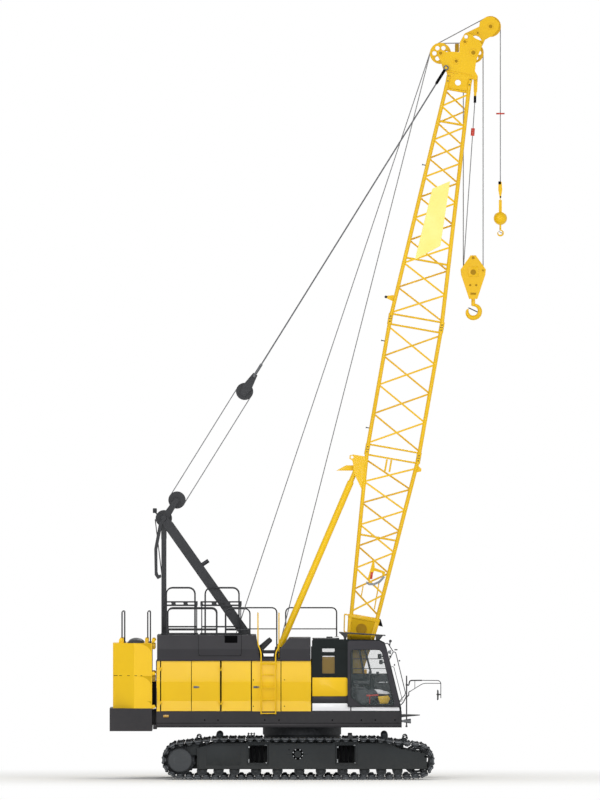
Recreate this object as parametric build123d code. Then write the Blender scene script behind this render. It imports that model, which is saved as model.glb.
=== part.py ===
"""A crawler crane with a lattice boom, parked with its boom raised.

Units are millimetres. +X is forward, +Y is the machine's left and +Z is up. The origin is on
the ground under the slewing axis. Each sub-part goes to its own STEP file in parts/.
"""

import math
import os

from build123d import *

# ------------------------------------------------------------------ clearances
TOUCH = 0.3                 # between fitted pieces of one body
TURN = 0.5                  # round a pin that turns
CLEAR = 10                  # beside a piece that moves

# --------------------------------------------------------------- undercarriage
TRACK_GAUGE = 4050          # between the middles of the tracks
SHOE_WIDTH = 850
SHOE_COUNT = 66
SHOE_PLATE = 45             # a shoe's plate
SHOE_GAP = 14               # between two shoes at the ground
LINK_DEPTH = 40             # links inside the plates
LINK_WIDTH = 130            # each of a track's two rows of links
LINK_OFFSET = 95            # from the track's middle to the middle of a row
SPROCKET_X, SPROCKET_Z, SPROCKET_R = -2813, 445, 335
IDLER_X, IDLER_Z, IDLER_R = 2650, 425, 320
ROLLER_R = 120
ROLLER_WIDTH = 300
ROLLER_XS = (-2303, -1922, -1555, -1056, -564, -62, 434, 933, 1439, 1825, 2199)
CARRIER_R = 90
CARRIER_WIDTH = 160
CARRIER_XS = (-1950, 60, 1700)
TRACK_TOP = 970
DRIVE_R = 270               # cover of a final drive
FRAME_WIDTH = 560           # of a side frame
FRAME_BOTTOM, FRAME_TOP = 240, 838
SADDLE = 34                 # rise of the frame over each axle
FRAME_REAR, FRAME_FRONT = -2414, 2874
FRAME_REAR_TOP = 726
AXLE_X = 1000               # of each axle beam
AXLE_LENGTH_X, AXLE_HEIGHT = 470, 440
AXLE_BOTTOM = 366
AXLE_WALL = 22
CARBODY_HALF_X = 1180
CARBODY_BOTTOM, CARBODY_TOP = 470, 900
JACK_X, JACK_Y, JACK_R = 1900, 1350, 80
JACK_TOP = 1086
EYE_X = 2380

# ---------------------------------------------------------------- slewing ring
RING_R = 905
RING_BORE = 700
RING_BOTTOM, RING_TOP = 1010, 1180
DRUM_R = 880                # carbody's drum under the ring

# -------------------------------------------------------------- upper structure
DECK_BOTTOM, DECK_TOP = 1190, 1250
SILL_TOP = 1564
HALF_WIDTH = 1500
SILL_WALL = 60
REAR_X, NOSE_X = -3350, 2298
GIRDER_IN, GIRDER_OUT = 470, 510
GIRDER_TOP = 2450
BOOM_FOOT_X, BOOM_FOOT_Z = 1097, 1899
BOOM_PIN_R = 45
EAR_R = 165
CHANNEL = 640               # half the way between the houses
BACKSTOP_X, BACKSTOP_Z, BACKSTOP_Y = -531, 2973, 500
BACKSTOP_PIN_R = 40
GANTRY_FOOT_X, GANTRY_FOOT_Z = -1040, 2960
GANTRY_HEAD_X, GANTRY_HEAD_Z = -3192, 6004
GANTRY_DEPTH = 224
GANTRY_OUT = 630
GANTRY_SHEAVE_R = 190
GANTRY_STUBS = (            # low end, high end and radius of each stub on the legs' front edges
    ((-2400, 4868), (-2162, 5026), 45),
    ((-1000, 2985), (-746, 3199), 50),
)
HANGER = [(-3260, 5960), (-3300, 5900), (-3410, 5300), (-3400, 4700), (-3330, 4600), (-3255, 4640),
          (-3262, 4700), (-3318, 4690), (-3340, 4760), (-3345, 5280), (-3230, 5860), (-3160, 5960)]
LINK_X = -3190
LINK_DEPTH_X = 111
LINK_TOP = 5640

# ---------------------------------------------------------------------- winches
DRUM_Z = 2250
DRUMS = (                   # x, radius of the core, radius of the flanges
    (-450, 260, 400),       # main hoist
    (-1600, 260, 400),      # second hoist
    (-2700, 230, 350),      # boom hoist
)
DRUM_HALF, FLANGE, SHAFT_R = 330, 30, 60

# --------------------------------------------------------------- counterweight
TRAY_REAR, WEIGHT_REAR, WEIGHT_FRONT = -4433, -4359, -3456
TRAY_BOTTOM, TRAY_TOP = 1106, 1632
WEIGHT_HALF_WIDTH = 1560
WEIGHT_LEVELS = (1637, 2386, 3137)
WEIGHT_GAP = 4
WEIGHT_LUGS = ((-4200, 80), (-3620, 80))     # rear edge and length of each lifting lug

# ---------------------------------------------------------------------- houses
HOUSE_WALL = 40
LEAF = 50                   # thickness of a door leaf
HOUSE_FLOOR, HOUSE_TOP = SILL_TOP, 2730
FOLD_TOP, FOLD_LOW = 2241, 1799     # folds along the pressed side panels
PRESSING = 34               # depth of the pressing at its top and at its lower fold
HOOD_FOLD, HOOD_LEAN = 2996, 45     # the hoods lean in above their fold
HOOD_TOP = 3320
HOUSE_FRONT = 208
POST = 44                   # width of the post between two hinged leaves
DOORS = (                   # rear edge, front edge, hinged end: -1 rear or +1 front
    (-3257, -2553, -1),
    (-2553, -1871 - POST / 2, 1),
    (-1871 + POST / 2, -1167, -1),
)
PANEL_SPLIT = -485
DOOR_GAP = 6
HINGE_OUT = 12              # from a leaf's face out to its hinge pin
HINGE_PIN_R = 7
HINGE_ZS = (1760, 2540)
WALKWAY = (-960, -508)
TANK_FRONT = 840            # of the tall part of the fuel tank
FRONT_HOOD_TOP = 3253
RAIL_TOP, RAIL_MIDDLE, UPPER_RAIL_TOP = 3927, 3437, 4400
RIGHT_RAILS = (             # rear post, front post, floor at each
    (-3105, -1970, HOOD_TOP, HOOD_TOP),
    (-1765, -1200, HOOD_TOP, HOOD_TOP),
)
LEFT_RAILS = (
    (-3105, -1970, HOOD_TOP, HOOD_TOP),
    (-1765, -584, HOOD_TOP, HOUSE_TOP + 40),
    (-377, 802, FRONT_HOOD_TOP, HOUSE_TOP),
)
UPPER_RAILS = ((-3135, -2472), (-2236, -1455))

# ------------------------------------------------------------------------- cab
CAB_REAR, CAB_INNER, CAB_OUTER = 229, 625, HALF_WIDTH
CAB_FLOOR, CAB_ROOF = 1564, 3227
CAB_WALL = 60
GLASS = 8
CAB_DOOR_IN, CAB_DOOR = CAB_OUTER + 12, 40
DOOR_RAIL_Z = (3010, 3040)
DOOR_RAIL = 20              # how far the rail stands out

# ------------------------------------------------------------------------ boom
BOOM_ANGLE = 80
BASE_END, INSERT_END, TIP_END = 5686, 8747, 14513
BOOM_HALF = 550             # chords' middles, across
BOOM_REAR, BOOM_FRONT = 585, 615    # from the pin's line to the chords' middles
CHORD_R = 44.5
LACE = 42
CROSS_AT = 120              # from a section's end to its cross bars
BASE_BAYS, INSERT_BAYS, TIP_BAYS = 7, 4, 11
TIP_FRONT_BAYS = 7          # the front is open above these, for the ropes
TIP_CLOSING = 0.62          # height of the tip's last bay over its first
LEG_TOP = 1855
LEG_REAR, LEG_FRONT = 285, 320
LEG = 60                    # thickness of each foot leg
BOSS_U, BOSS_R = 1580, 115
HEAD_REAR, HEAD_FRONT, HEAD_HALF = 225, 268, 330
PIERCED = 280               # height of the pierced plates under the head
BASE_FRAME_U = 3720         # a frame of cross bars part way up the base
TIP_FRAME_US = (10200, 13440)
BRACKET_U, BRACKET_V = 5194, -756
HOLE_U, HOLE_V = BRACKET_U + 250, BRACKET_V - 144
HOLE_R = 35                 # spare hole in the backstops' brackets
BACKSTOP_EYE = 110          # width of a backstop's upper eye
BACKSTOP_R, BACKSTOP_ROD_R = 75, 55
ROD_INSIDE = 1800           # of a rod, in its tube when the boom is up
BACKSTOP_ROD_OUT = 320      # of a rod, outside its tube when the boom is up

# ------------------------------------------------------------------- boom head
HEAD_IN, HEAD_OUT = 300, 325
GUIDE = (3197, 16744)
GUIDE_R = 230
MAIN = (3955, 16757)
MAIN_R = 228                # of the rope's middle round a sheave, here and below
NOSE = (4354, 17364)
NOSE_R = 228
SHEAVE_Y = 75
SHEAVE_WIDTH = 60
SHEAVE_HOLES = 6
NOSE_IN, NOSE_OUT = 130, 150
STAY_PIN = (3326, 16406)
STAY_Y = 380
LINK_HOLE = (3790, 17128)
LINK_HOLE_R = 44

# ----------------------------------------------------------------------- ropes
ROPE_R = 11
STAY_R = 16
SPREADER = (-2888, 6426)
SPREADER_R = 185
BRIDLE_AT = 2955            # from the spreader's pin to the bridle's sheaves
STAY_AT = 3370              # from the spreader's pin to the stays' lower pins

# ----------------------------------------------------------------------- hooks
BLOCK_WIDE_Z = 11689
BLOCK_TOP, BLOCK_BOTTOM = BLOCK_WIDE_Z + 390, BLOCK_WIDE_Z - 619
MAIN_HOOK_Z = BLOCK_BOTTOM - 275    # middle of the main hook's bend
BALL_Z, BALL_R = 12934, 155
SOCKET_TOP = BALL_Z + 843
SECOND_HOOK_Z = BALL_Z - 334
LIMIT_RING_Z = (15334, 15369)


# =================================================================== helpers
def flat(outline, y_from, y_to):
    """Plate between two Y planes, from an outline of (x, z) points."""
    corners = [Vector(x, min(y_from, y_to), z) for x, z in outline]
    face = Face(Wire.make_polygon(corners, close=True))
    return Solid.extrude(face, Vector(0, abs(y_to - y_from), 0))


def block(x, y, z):
    """Box from three (low, high) pairs."""
    spans = [sorted(pair) for pair in (x, y, z)]
    middle = [(low + high) / 2 for low, high in spans]
    size = [high - low for low, high in spans]
    return Pos(*middle) * Solid.make_box(*size, Plane(origin=[-side / 2 for side in size]))


def sweep_x(edges, x_from, x_to):
    """Solid between two X planes, from the edges round a section drawn at X = 0."""
    face = Face(Wire(edges)).moved(Location((min(x_from, x_to), 0, 0)))
    return Solid.extrude(face, Vector(abs(x_to - x_from), 0, 0))


def lines(points):
    """Straight edges through a row of points."""
    return [Edge.make_line(a, b) for a, b in zip(points, points[1:])]


def bar(start, end, radius, seam=None):
    """Round bar between the middles of its two ends, with its seam on a given side."""
    start, end = Vector(*start), Vector(*end)
    return Solid.make_cylinder(radius, (end - start).length, Plane(start, x_dir=seam, z_dir=end - start))


def axle(point, radius, y_from, y_to):
    """Round bar that lies along Y through an (x, z) point."""
    x, z = point
    return bar((x, y_from, z), (x, y_to, z), radius)


def rail(points, radius):
    """Bars along a bent line, with a ball in each bend."""
    bars = [bar(a, b, radius) for a, b in zip(points, points[1:])]
    balls = [Pos(*point) * Solid.make_sphere(radius) for point in points[1:-1]]
    return join(bars + balls)


def join(pieces):
    """One shape from pieces that touch or overlap."""
    first, *others = pieces
    return first.fuse(*others) if others else first


def save(name, pieces):
    """Writes one node, whose solids are all the given pieces'."""
    solids = [solid for piece in pieces for solid in piece.solids()]
    export_step(Compound(solids), f"parts/{name}.step")


# ============================================================= undercarriage
def belt(inset):
    """Closed wire round a track's wheels, at the shoes' ground side less an inset."""
    reach = TOUCH + LINK_DEPTH + SHOE_PLATE - inset
    roller_z = ROLLER_R + TOUCH + LINK_DEPTH + SHOE_PLATE
    carrier_z = TRACK_TOP - LINK_DEPTH - SHOE_PLATE - TOUCH - CARRIER_R
    wheels = [
        (ROLLER_XS[0], roller_z, ROLLER_R),
        (ROLLER_XS[-1], roller_z, ROLLER_R),
        (IDLER_X, IDLER_Z, IDLER_R),
        (CARRIER_XS[-1], carrier_z, CARRIER_R),
        (CARRIER_XS[0], carrier_z, CARRIER_R),
        (SPROCKET_X, SPROCKET_Z, SPROCKET_R),
    ]
    normals = []
    for (x, z, r), (next_x, next_z, next_r) in zip(wheels, wheels[1:] + wheels[:1]):
        along = math.atan2(next_z - z, next_x - x)
        turn = math.asin((r - next_r) / math.hypot(next_x - x, next_z - z))
        normals.append(along - math.pi / 2 + turn)

    def on_wheel(index, angle):
        x, z, r = wheels[index]
        return Vector(x + (r + reach) * math.cos(angle), 0, z + (r + reach) * math.sin(angle))

    edges = []
    for index in range(len(wheels)):
        following = (index + 1) % len(wheels)
        leave, arrive = normals[index], normals[following]
        turn = (arrive - leave) % math.tau
        start, end = on_wheel(index, leave), on_wheel(following, leave)
        middle, last = on_wheel(following, leave + turn / 2), on_wheel(following, leave + turn)
        edges.append(Edge.make_line(start, end))
        edges.append(Edge.make_three_point_arc(end, middle, last))
    return Wire(edges)


def make_track(side):
    """Loop of shoes with two rows of links inside, on the +1 or -1 side."""
    middle = side * TRACK_GAUGE / 2
    pitch_line = belt(SHOE_PLATE)
    corners = []
    for index in range(SHOE_COUNT):
        hinge = pitch_line.position_at(index / SHOE_COUNT)
        following = pitch_line.position_at((index + 1) / SHOE_COUNT % 1)
        along = (following - hinge).normalized()
        outward = Vector(along.Z, 0, -along.X)
        corners.append(hinge + outward * (SHOE_PLATE / 3))
        corners.append(hinge + along * (SHOE_GAP / 2) + outward * SHOE_PLATE)
        corners.append(following - along * (SHOE_GAP / 2) + outward * SHOE_PLATE)
    shift = Vector(0, middle - SHOE_WIDTH / 2, 0)
    outer = Wire.make_polygon([corner + shift for corner in corners], close=True)
    inner = belt(SHOE_PLATE).moved(Location(shift))
    plates = Solid.extrude(Face(outer, [inner]), Vector(0, SHOE_WIDTH, 0))
    links = []
    for offset in (-LINK_OFFSET, LINK_OFFSET):
        shift = Location((0, middle + offset - LINK_WIDTH / 2, 0))
        ring = Face(belt(SHOE_PLATE * 0.7).moved(shift), [belt(SHOE_PLATE + LINK_DEPTH).moved(shift)])
        links.append(Solid.extrude(ring, Vector(0, LINK_WIDTH, 0)))
    return join([plates] + links)


def make_side_frame(side):
    """Box of one track: roller bay below, idler fork in front, drive bracket behind."""
    middle = side * TRACK_GAUGE / 2
    half = FRAME_WIDTH / 2
    saddle = [(-AXLE_X - 300, FRAME_TOP), (-AXLE_X - 260, FRAME_TOP + SADDLE),
              (-AXLE_X + 260, FRAME_TOP + SADDLE), (-AXLE_X + 300, FRAME_TOP)]
    front_saddle = [(-x, z) for x, z in reversed(saddle)]
    outline = [(FRAME_REAR, FRAME_BOTTOM), (FRAME_REAR, FRAME_REAR_TOP), (-2027, FRAME_TOP)]
    outline += saddle + front_saddle
    outline += [(1950, FRAME_TOP), (2287, 698), (FRAME_FRONT, 588), (FRAME_FRONT, FRAME_BOTTOM)]
    frame = flat(outline, middle - half, middle + half)
    bay = ROLLER_WIDTH / 2 + 5
    fork = ROLLER_WIDTH / 2 + TOUCH
    idler_bay = IDLER_X - IDLER_R - 60
    cuts = [
        block((FRAME_REAR - 1, idler_bay + 1), (middle - bay, middle + bay), (0, FRAME_BOTTOM + 95)),
        block((idler_bay, FRAME_FRONT + 1), (middle - fork, middle + fork), (0, 1000)),
        axle((-97, 587), 130, middle + side * (half - 120), middle + side * (half + 1)),
    ]
    for x in (-AXLE_X, AXLE_X):
        reach = AXLE_LENGTH_X / 2 + TOUCH
        cuts.append(block((x - reach, x + reach), (middle - half - 1, middle + half + 1),
                          (AXLE_BOTTOM - TOUCH, AXLE_BOTTOM + AXLE_HEIGHT + TOUCH)))
    for x in CARRIER_XS:
        reach = CARRIER_WIDTH / 2 + 10
        cuts.append(block((x - CARRIER_R - 15, x + CARRIER_R + 15), (middle - reach, middle + reach),
                          (690, 1000)))
    bracket_z = (SPROCKET_Z - 200, SPROCKET_Z + 200)
    inner_face = middle - side * half
    bracket = [
        block((SPROCKET_X, FRAME_REAR + 1), (inner_face, inner_face + side * 90), bracket_z),
        axle((SPROCKET_X, SPROCKET_Z), 200, inner_face, inner_face + side * 90),
    ]
    return join([frame.cut(*cuts)] + bracket)


def make_rollers(side):
    """Lower rollers hung under the frame in bearing blocks, and carriers on top of it."""
    middle = side * TRACK_GAUGE / 2
    roller_z = ROLLER_R + TOUCH + LINK_DEPTH + SHOE_PLATE
    carrier_z = TRACK_TOP - LINK_DEPTH - SHOE_PLATE - TOUCH - CARRIER_R
    half = ROLLER_WIDTH / 2
    rollers = []
    for x in ROLLER_XS:
        drum = axle((x, roller_z), ROLLER_R, middle - half, middle + half)
        shaft = axle((x, roller_z), 30, middle - half - 45, middle + half + 45)
        bearings = [block((x - 45, x + 45), (middle + end * (half + 6), middle + end * (half + 45)),
                          (roller_z - 45, FRAME_BOTTOM)) for end in (-1, 1)]
        rollers.append(join([drum, shaft] + bearings))
    for x in CARRIER_XS:
        drum = axle((x, carrier_z), CARRIER_R, middle - CARRIER_WIDTH / 2, middle + CARRIER_WIDTH / 2)
        reach = CARRIER_WIDTH / 2 + 10
        shaft = axle((x, carrier_z), 25, middle - reach, middle + reach)
        rollers.append(join([drum, shaft]))
    return rollers


def make_sprocket(side):
    """Sprocket ring with its final drive, carried by the frame's bracket."""
    middle = side * TRACK_GAUGE / 2
    half = FRAME_WIDTH / 2
    centre = (SPROCKET_X, SPROCKET_Z)
    bracket_face = middle - side * (half - 90)
    ring = axle(centre, SPROCKET_R, middle - 45, middle + 45)
    case = axle(centre, DRIVE_R, bracket_face, middle + side * (half + 30))
    return join([ring, case])


def make_idler(side):
    """Spoked idler on a shaft between the frame's fork plates."""
    middle = side * TRACK_GAUGE / 2
    half = ROLLER_WIDTH / 2
    centre = (IDLER_X, IDLER_Z)
    rim = axle(centre, IDLER_R, middle - 110, middle + 110)
    rim = rim.cut(axle(centre, IDLER_R - 50, middle - 111, middle + 111))
    hub = axle(centre, 90, middle - 110, middle + 110)
    shaft = axle(centre, 45, middle - half - TOUCH, middle + half + TOUCH)
    spokes = []
    for index in range(8):
        angle = math.tau * (index + 0.5) / 8
        inner = (IDLER_X + 60 * math.cos(angle), middle, IDLER_Z + 60 * math.sin(angle))
        reach = IDLER_R - 30
        outer = (IDLER_X + reach * math.cos(angle), middle, IDLER_Z + reach * math.sin(angle))
        spokes.append(bar(inner, outer, 24))
    return join([rim, hub, shaft] + spokes)


def make_carbody():
    """Centre box with its drum and the two hollow axle beams."""
    inner = TRACK_GAUGE / 2 - FRAME_WIDTH / 2
    box_y = (-inner + 300, inner - 300)
    box = block((-CARBODY_HALF_X, CARBODY_HALF_X), box_y, (CARBODY_BOTTOM, CARBODY_TOP))
    drum = Pos(0, 0, CARBODY_TOP - 1) * Solid.make_cylinder(DRUM_R, RING_BOTTOM - CARBODY_TOP + 1)
    bore = Pos(0, 0, CARBODY_TOP - 60) * Solid.make_cylinder(RING_BORE, RING_BOTTOM - CARBODY_TOP + 61)
    pieces = [box, drum]
    hollows = [bore]
    end = TRACK_GAUGE / 2 + FRAME_WIDTH / 2 - 40
    for x in (-AXLE_X, AXLE_X):
        half = AXLE_LENGTH_X / 2
        top = AXLE_BOTTOM + AXLE_HEIGHT
        pieces.append(block((x - half, x + half), (-end, end), (AXLE_BOTTOM, top)))
        wall = AXLE_WALL
        for side in (-1, 1):
            hollows.append(block((x - half + wall, x + half - wall), (side * (inner - 100), side * (end + 1)),
                                 (AXLE_BOTTOM + wall, top - wall)))
    return join(pieces).cut(*hollows)


def make_jacks():
    """Folded transport jacks on arms at the carbody's ends, each with a lifting eye."""
    pieces = []
    for x_side in (-1, 1):
        for y in (-JACK_Y, JACK_Y):
            x = x_side * JACK_X
            arm_x = (x_side * (AXLE_X + AXLE_LENGTH_X / 2), x_side * (EYE_X - 60))
            arm = block(arm_x, (y - 70, y + 70), (600, 800))
            tube = bar((x, y, 380), (x, y, JACK_TOP - 60), JACK_R)
            dome = Pos(x, y, JACK_TOP - JACK_R) * Solid.make_sphere(JACK_R)
            stem = block((x_side * (EYE_X - 90), x_side * (EYE_X - 40)), (y - 30, y + 30), (600, 900))
            eye = axle((x_side * EYE_X, 950), 60, y - 20, y + 20)
            neck = block((x_side * (EYE_X - 70), x_side * (EYE_X + 30)), (y - 20, y + 20), (780, 930))
            hole = axle((x_side * EYE_X, 950), 32, y - 21, y + 21)
            pieces.append(join([arm, tube, dome, stem, neck, eye]).cut(hole))
    return pieces


def make_slewing_ring():
    ring = Pos(0, 0, RING_BOTTOM) * Solid.make_cylinder(RING_R, RING_TOP - RING_BOTTOM)
    return ring.cut(Pos(0, 0, RING_BOTTOM - 1) * Solid.make_cylinder(RING_BORE, RING_TOP - RING_BOTTOM + 2))


# ============================================================ upper structure
def make_girder(side):
    """Side plate of the revolving frame, up to the gantry's and backstops' feet."""
    foot = (BOOM_FOOT_X, BOOM_FOOT_Z)
    outline = [(REAR_X, DECK_TOP), (REAR_X, 2100), (-3000, GIRDER_TOP), (-1400, GIRDER_TOP),
               (-1150, GANTRY_FOOT_Z + 60), (-930, GANTRY_FOOT_Z + 60), (-800, GIRDER_TOP),
               (150, GIRDER_TOP), (600, 2150), (BOOM_FOOT_X - 120, BOOM_FOOT_Z + 110),
               (BOOM_FOOT_X + 140, BOOM_FOOT_Z + 80), (1500, 1560), (1650, DECK_TOP)]
    plate = flat(outline, side * GIRDER_IN, side * GIRDER_OUT)
    ear = axle(foot, EAR_R, side * GIRDER_IN, side * GIRDER_OUT)
    outer_in, outer_out = BOOM_HALF + LEG / 2 + CLEAR, CAB_INNER - CLEAR
    outer = flat([(800, DECK_TOP), (BOOM_FOOT_X - EAR_R, BOOM_FOOT_Z), (BOOM_FOOT_X + EAR_R, BOOM_FOOT_Z),
                  (1400, DECK_TOP)], side * outer_in, side * outer_out)
    outer_ear = axle(foot, EAR_R, side * outer_in, side * outer_out)
    pin = axle(foot, BOOM_PIN_R, side * (GIRDER_IN + 1), side * (outer_out - 1))
    shelf_x = (BACKSTOP_X - 190, BACKSTOP_X + 190)
    shelf = block(shelf_x, (side * 385, side * 615), (GIRDER_TOP - 1, GIRDER_TOP + 30))
    tube = BACKSTOP_R + CLEAR
    forks = []
    for low in (BACKSTOP_Y - tube - 30, BACKSTOP_Y + tube):
        high = low + 30
        forks.append(flat([(shelf_x[0], GIRDER_TOP), (BACKSTOP_X - 90, BACKSTOP_Z + 60),
                           (BACKSTOP_X + 90, BACKSTOP_Z + 60), (shelf_x[1], GIRDER_TOP)],
                          side * low, side * high))
    backstop_pin = axle((BACKSTOP_X, BACKSTOP_Z), BACKSTOP_PIN_R,
                        side * (BACKSTOP_Y - tube - 1), side * (BACKSTOP_Y + tube + 1))
    return [plate, ear, outer, outer_ear, pin, shelf, backstop_pin] + forks


def make_revolving_frame():
    """Deck with girders, cross beams, side sills and the boss in the slewing ring."""
    pieces = make_girder(-1) + make_girder(1)
    pieces.append(block((REAR_X, 1650), (-CHANNEL, CHANNEL), (DECK_BOTTOM, DECK_TOP + 1)))
    for side in (-1, 1):
        sill_y = (side * (HALF_WIDTH - SILL_WALL), side * HALF_WIDTH)
        pieces.append(block((REAR_X, NOSE_X), sill_y, (DECK_BOTTOM, SILL_TOP)))
        pieces.append(block((REAR_X, NOSE_X), (side * CAB_INNER, side * (HALF_WIDTH - 1)),
                            (DECK_BOTTOM, DECK_TOP)))
        for x in (REAR_X + 30, -2300, -1200, -60, 1100, NOSE_X - 30):
            beam_y = (side * (CHANNEL - 20), side * (HALF_WIDTH - 1))
            pieces.append(block((x - 30, x + 30), beam_y, (DECK_BOTTOM, SILL_TOP)))
    boss_top = DECK_BOTTOM + 1
    boss = Pos(0, 0, RING_BOTTOM + 20) * Solid.make_cylinder(RING_BORE - TURN, boss_top - RING_BOTTOM - 20)
    pieces.append(boss)
    pieces.append(block((REAR_X - 60, REAR_X), (-900, 900), (DECK_BOTTOM, 1600)))
    return join(pieces)


def make_counterweight():
    """Black tray and the two yellow layers that stand on it."""
    tray_front = WEIGHT_FRONT
    tray = block((TRAY_REAR, tray_front), (-WEIGHT_HALF_WIDTH, WEIGHT_HALF_WIDTH), (TRAY_BOTTOM, TRAY_TOP))
    tongue = block((tray_front - 1, REAR_X - 60), (-880, 880), (1240, 1590))
    layers = []
    for low, high in zip(WEIGHT_LEVELS, WEIGHT_LEVELS[1:]):
        half = WEIGHT_HALF_WIDTH
        corners = [Vector(x, y, 0) for x, y in (
            (WEIGHT_FRONT, -half), (WEIGHT_REAR + 490, -half), (WEIGHT_REAR, -half + 420),
            (WEIGHT_REAR, half - 420), (WEIGHT_REAR + 490, half), (WEIGHT_FRONT, half))]
        base = low - (WEIGHT_LEVELS[0] - TRAY_TOP if low == WEIGHT_LEVELS[0] else 0)
        top = high - (WEIGHT_GAP if high != WEIGHT_LEVELS[-1] else 0)
        face = Face(Wire.make_polygon(corners, close=True))
        layer = Pos(0, 0, base) * Solid.extrude(face, Vector(0, 0, top - base))
        layers.append(layer)
    layers = [layers[0], Pos(0, 0, -WEIGHT_GAP) * layers[1]]
    mount = block((WEIGHT_FRONT, REAR_X), (-600, 600), (1650, 2245))
    top = WEIGHT_LEVELS[-1] - WEIGHT_GAP
    for side in (-1, 1):
        for x, length in WEIGHT_LUGS:
            layers.append(block((x, x + length), (side * 1180, side * 1230), (top - 1, top + 110)))
        for z in (2250, 2990):
            lug_x = (WEIGHT_FRONT - 1, WEIGHT_FRONT + 70)
            layers.append(block(lug_x, (side * 1300, side * 1350), (z, z + 130)))
    return join([tray, tongue]), layers, mount


def hinge_point(door):
    """Place of a door's hinge axis: x, and its distance from the machine's middle."""
    rear, front, end = door
    return (front if end > 0 else rear), HALF_WIDTH + HINGE_OUT


def panel(side, x_from, x_to, low, high):
    """Pressed sheet of the house's side: bowed above its upper fold, and hollow down to its lower."""
    def place(depth, z):
        return Vector(0, side * (HALF_WIDTH - depth), z)

    top = place(PRESSING, high)
    bow = Edge.make_three_point_arc(place(0, FOLD_TOP), place(PRESSING * 0.3, (FOLD_TOP + high) / 2), top)
    rest = lines([top, place(LEAF, high), place(LEAF, low), place(0, low), place(PRESSING, FOLD_LOW),
                  place(0, FOLD_TOP)])
    return sweep_x([bow] + rest, x_from, x_to)


def make_house(side):
    """Machinery house: open behind its leaves, with the fixed panels in the leaves' plane."""
    inner, outer = side * CHANNEL, side * (HALF_WIDTH - LEAF - 5)
    shell = block((REAR_X, HOUSE_FRONT), (inner, outer), (HOUSE_FLOOR, HOUSE_TOP))
    room = block((REAR_X + 60, HOUSE_FRONT - 60), (inner + side * HOUSE_WALL, outer + side),
                 (HOUSE_FLOOR + HOUSE_WALL, HOUSE_TOP - HOUSE_WALL))
    half_gap = DOOR_GAP / 2
    post = (DOORS[1][1] + half_gap, DOORS[2][0] - half_gap)
    fixed = ((REAR_X, DOORS[0][0] - half_gap), post, (DOORS[-1][1] + half_gap, HOUSE_FRONT))
    panels = [panel(side, *x, HOUSE_FLOOR, HOUSE_TOP) for x in fixed]
    panels += [block(x, (outer - side, outer + side * 6), (HOUSE_FLOOR, HOUSE_TOP)) for x in fixed]
    groove = block((PANEL_SPLIT - 6, PANEL_SPLIT + 6),
                   (side * (HALF_WIDTH - LEAF + 5), side * (HALF_WIDTH + 1)),
                   (HOUSE_FLOOR - 1, HOUSE_TOP + 1))
    body = join([shell.cut(room)] + panels).cut(groove)
    hinges = []
    for door in DOORS:
        x, y = hinge_point(door)
        for z in HINGE_ZS:
            reach = 19 * door[2]
            hinges.append(block((x, x + reach), (side * (HALF_WIDTH - LEAF), side * (y + HINGE_OUT)),
                                (z - 45, z - 5)))
            hinges.append(bar((x, side * y, z - 30), (x, side * y, z + 40), HINGE_PIN_R))
    return join([body] + hinges)


def make_hood(side):
    """Dark hoods on the house: a long one, a gap for the walkway, and a low one in front."""
    y = (side * CHANNEL, side * HALF_WIDTH)
    front = HOUSE_FRONT - 9
    long_hood = flat([(REAR_X + 10, HOUSE_TOP), (REAR_X + 10, HOOD_TOP), (WALKWAY[0] - 103, HOOD_TOP),
                      (WALKWAY[0] - 10, HOUSE_TOP)], *y)
    front_hood = flat([(WALKWAY[1], HOUSE_TOP), (WALKWAY[1], 2990), (-289, FRONT_HOOD_TOP),
                       (front, FRONT_HOOD_TOP), (front, HOUSE_TOP)], *y)
    floor = block((WALKWAY[0] - 11, WALKWAY[1] + 1), y, (HOUSE_TOP, HOUSE_TOP + 40))
    corners = ((0, HOOD_FOLD), (HOOD_LEAN, HOOD_TOP + 1), (-1, HOOD_TOP + 1), (0, HOOD_FOLD))
    lean = lines([Vector(0, side * (HALF_WIDTH - depth), z) for depth, z in corners])
    return join([long_hood, front_hood, floor]).cut(sweep_x(lean, REAR_X, HOUSE_FRONT + 1))


def make_leaf(side, door):
    """Pressed door leaf with the bored halves of its two hinges."""
    rear, front, end = door
    low, high = HOUSE_FLOOR + DOOR_GAP, HOUSE_TOP - DOOR_GAP
    pieces = [panel(side, rear + DOOR_GAP / 2, front - DOOR_GAP / 2, low, high)]
    x, y = hinge_point(door)
    for z in HINGE_ZS:
        pieces.append(block((x - 4 * end, x - 42 * end), (side * (HALF_WIDTH - LEAF), side * (y + HINGE_OUT)),
                            (z - 5 + TURN, z + 35)))
        pieces.append(block((x, x - 5 * end), (side * y, side * (y + HINGE_OUT)), (z - 5 + TURN, z + 35)))
        pieces.append(bar((x, side * y, z - 5 + TURN), (x, side * y, z + 35), HINGE_OUT - TURN))
    bores = [bar((x, side * y, z - 60), (x, side * y, z + 60), HINGE_PIN_R + TURN) for z in HINGE_ZS]
    return join(pieces).cut(*bores)


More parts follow.
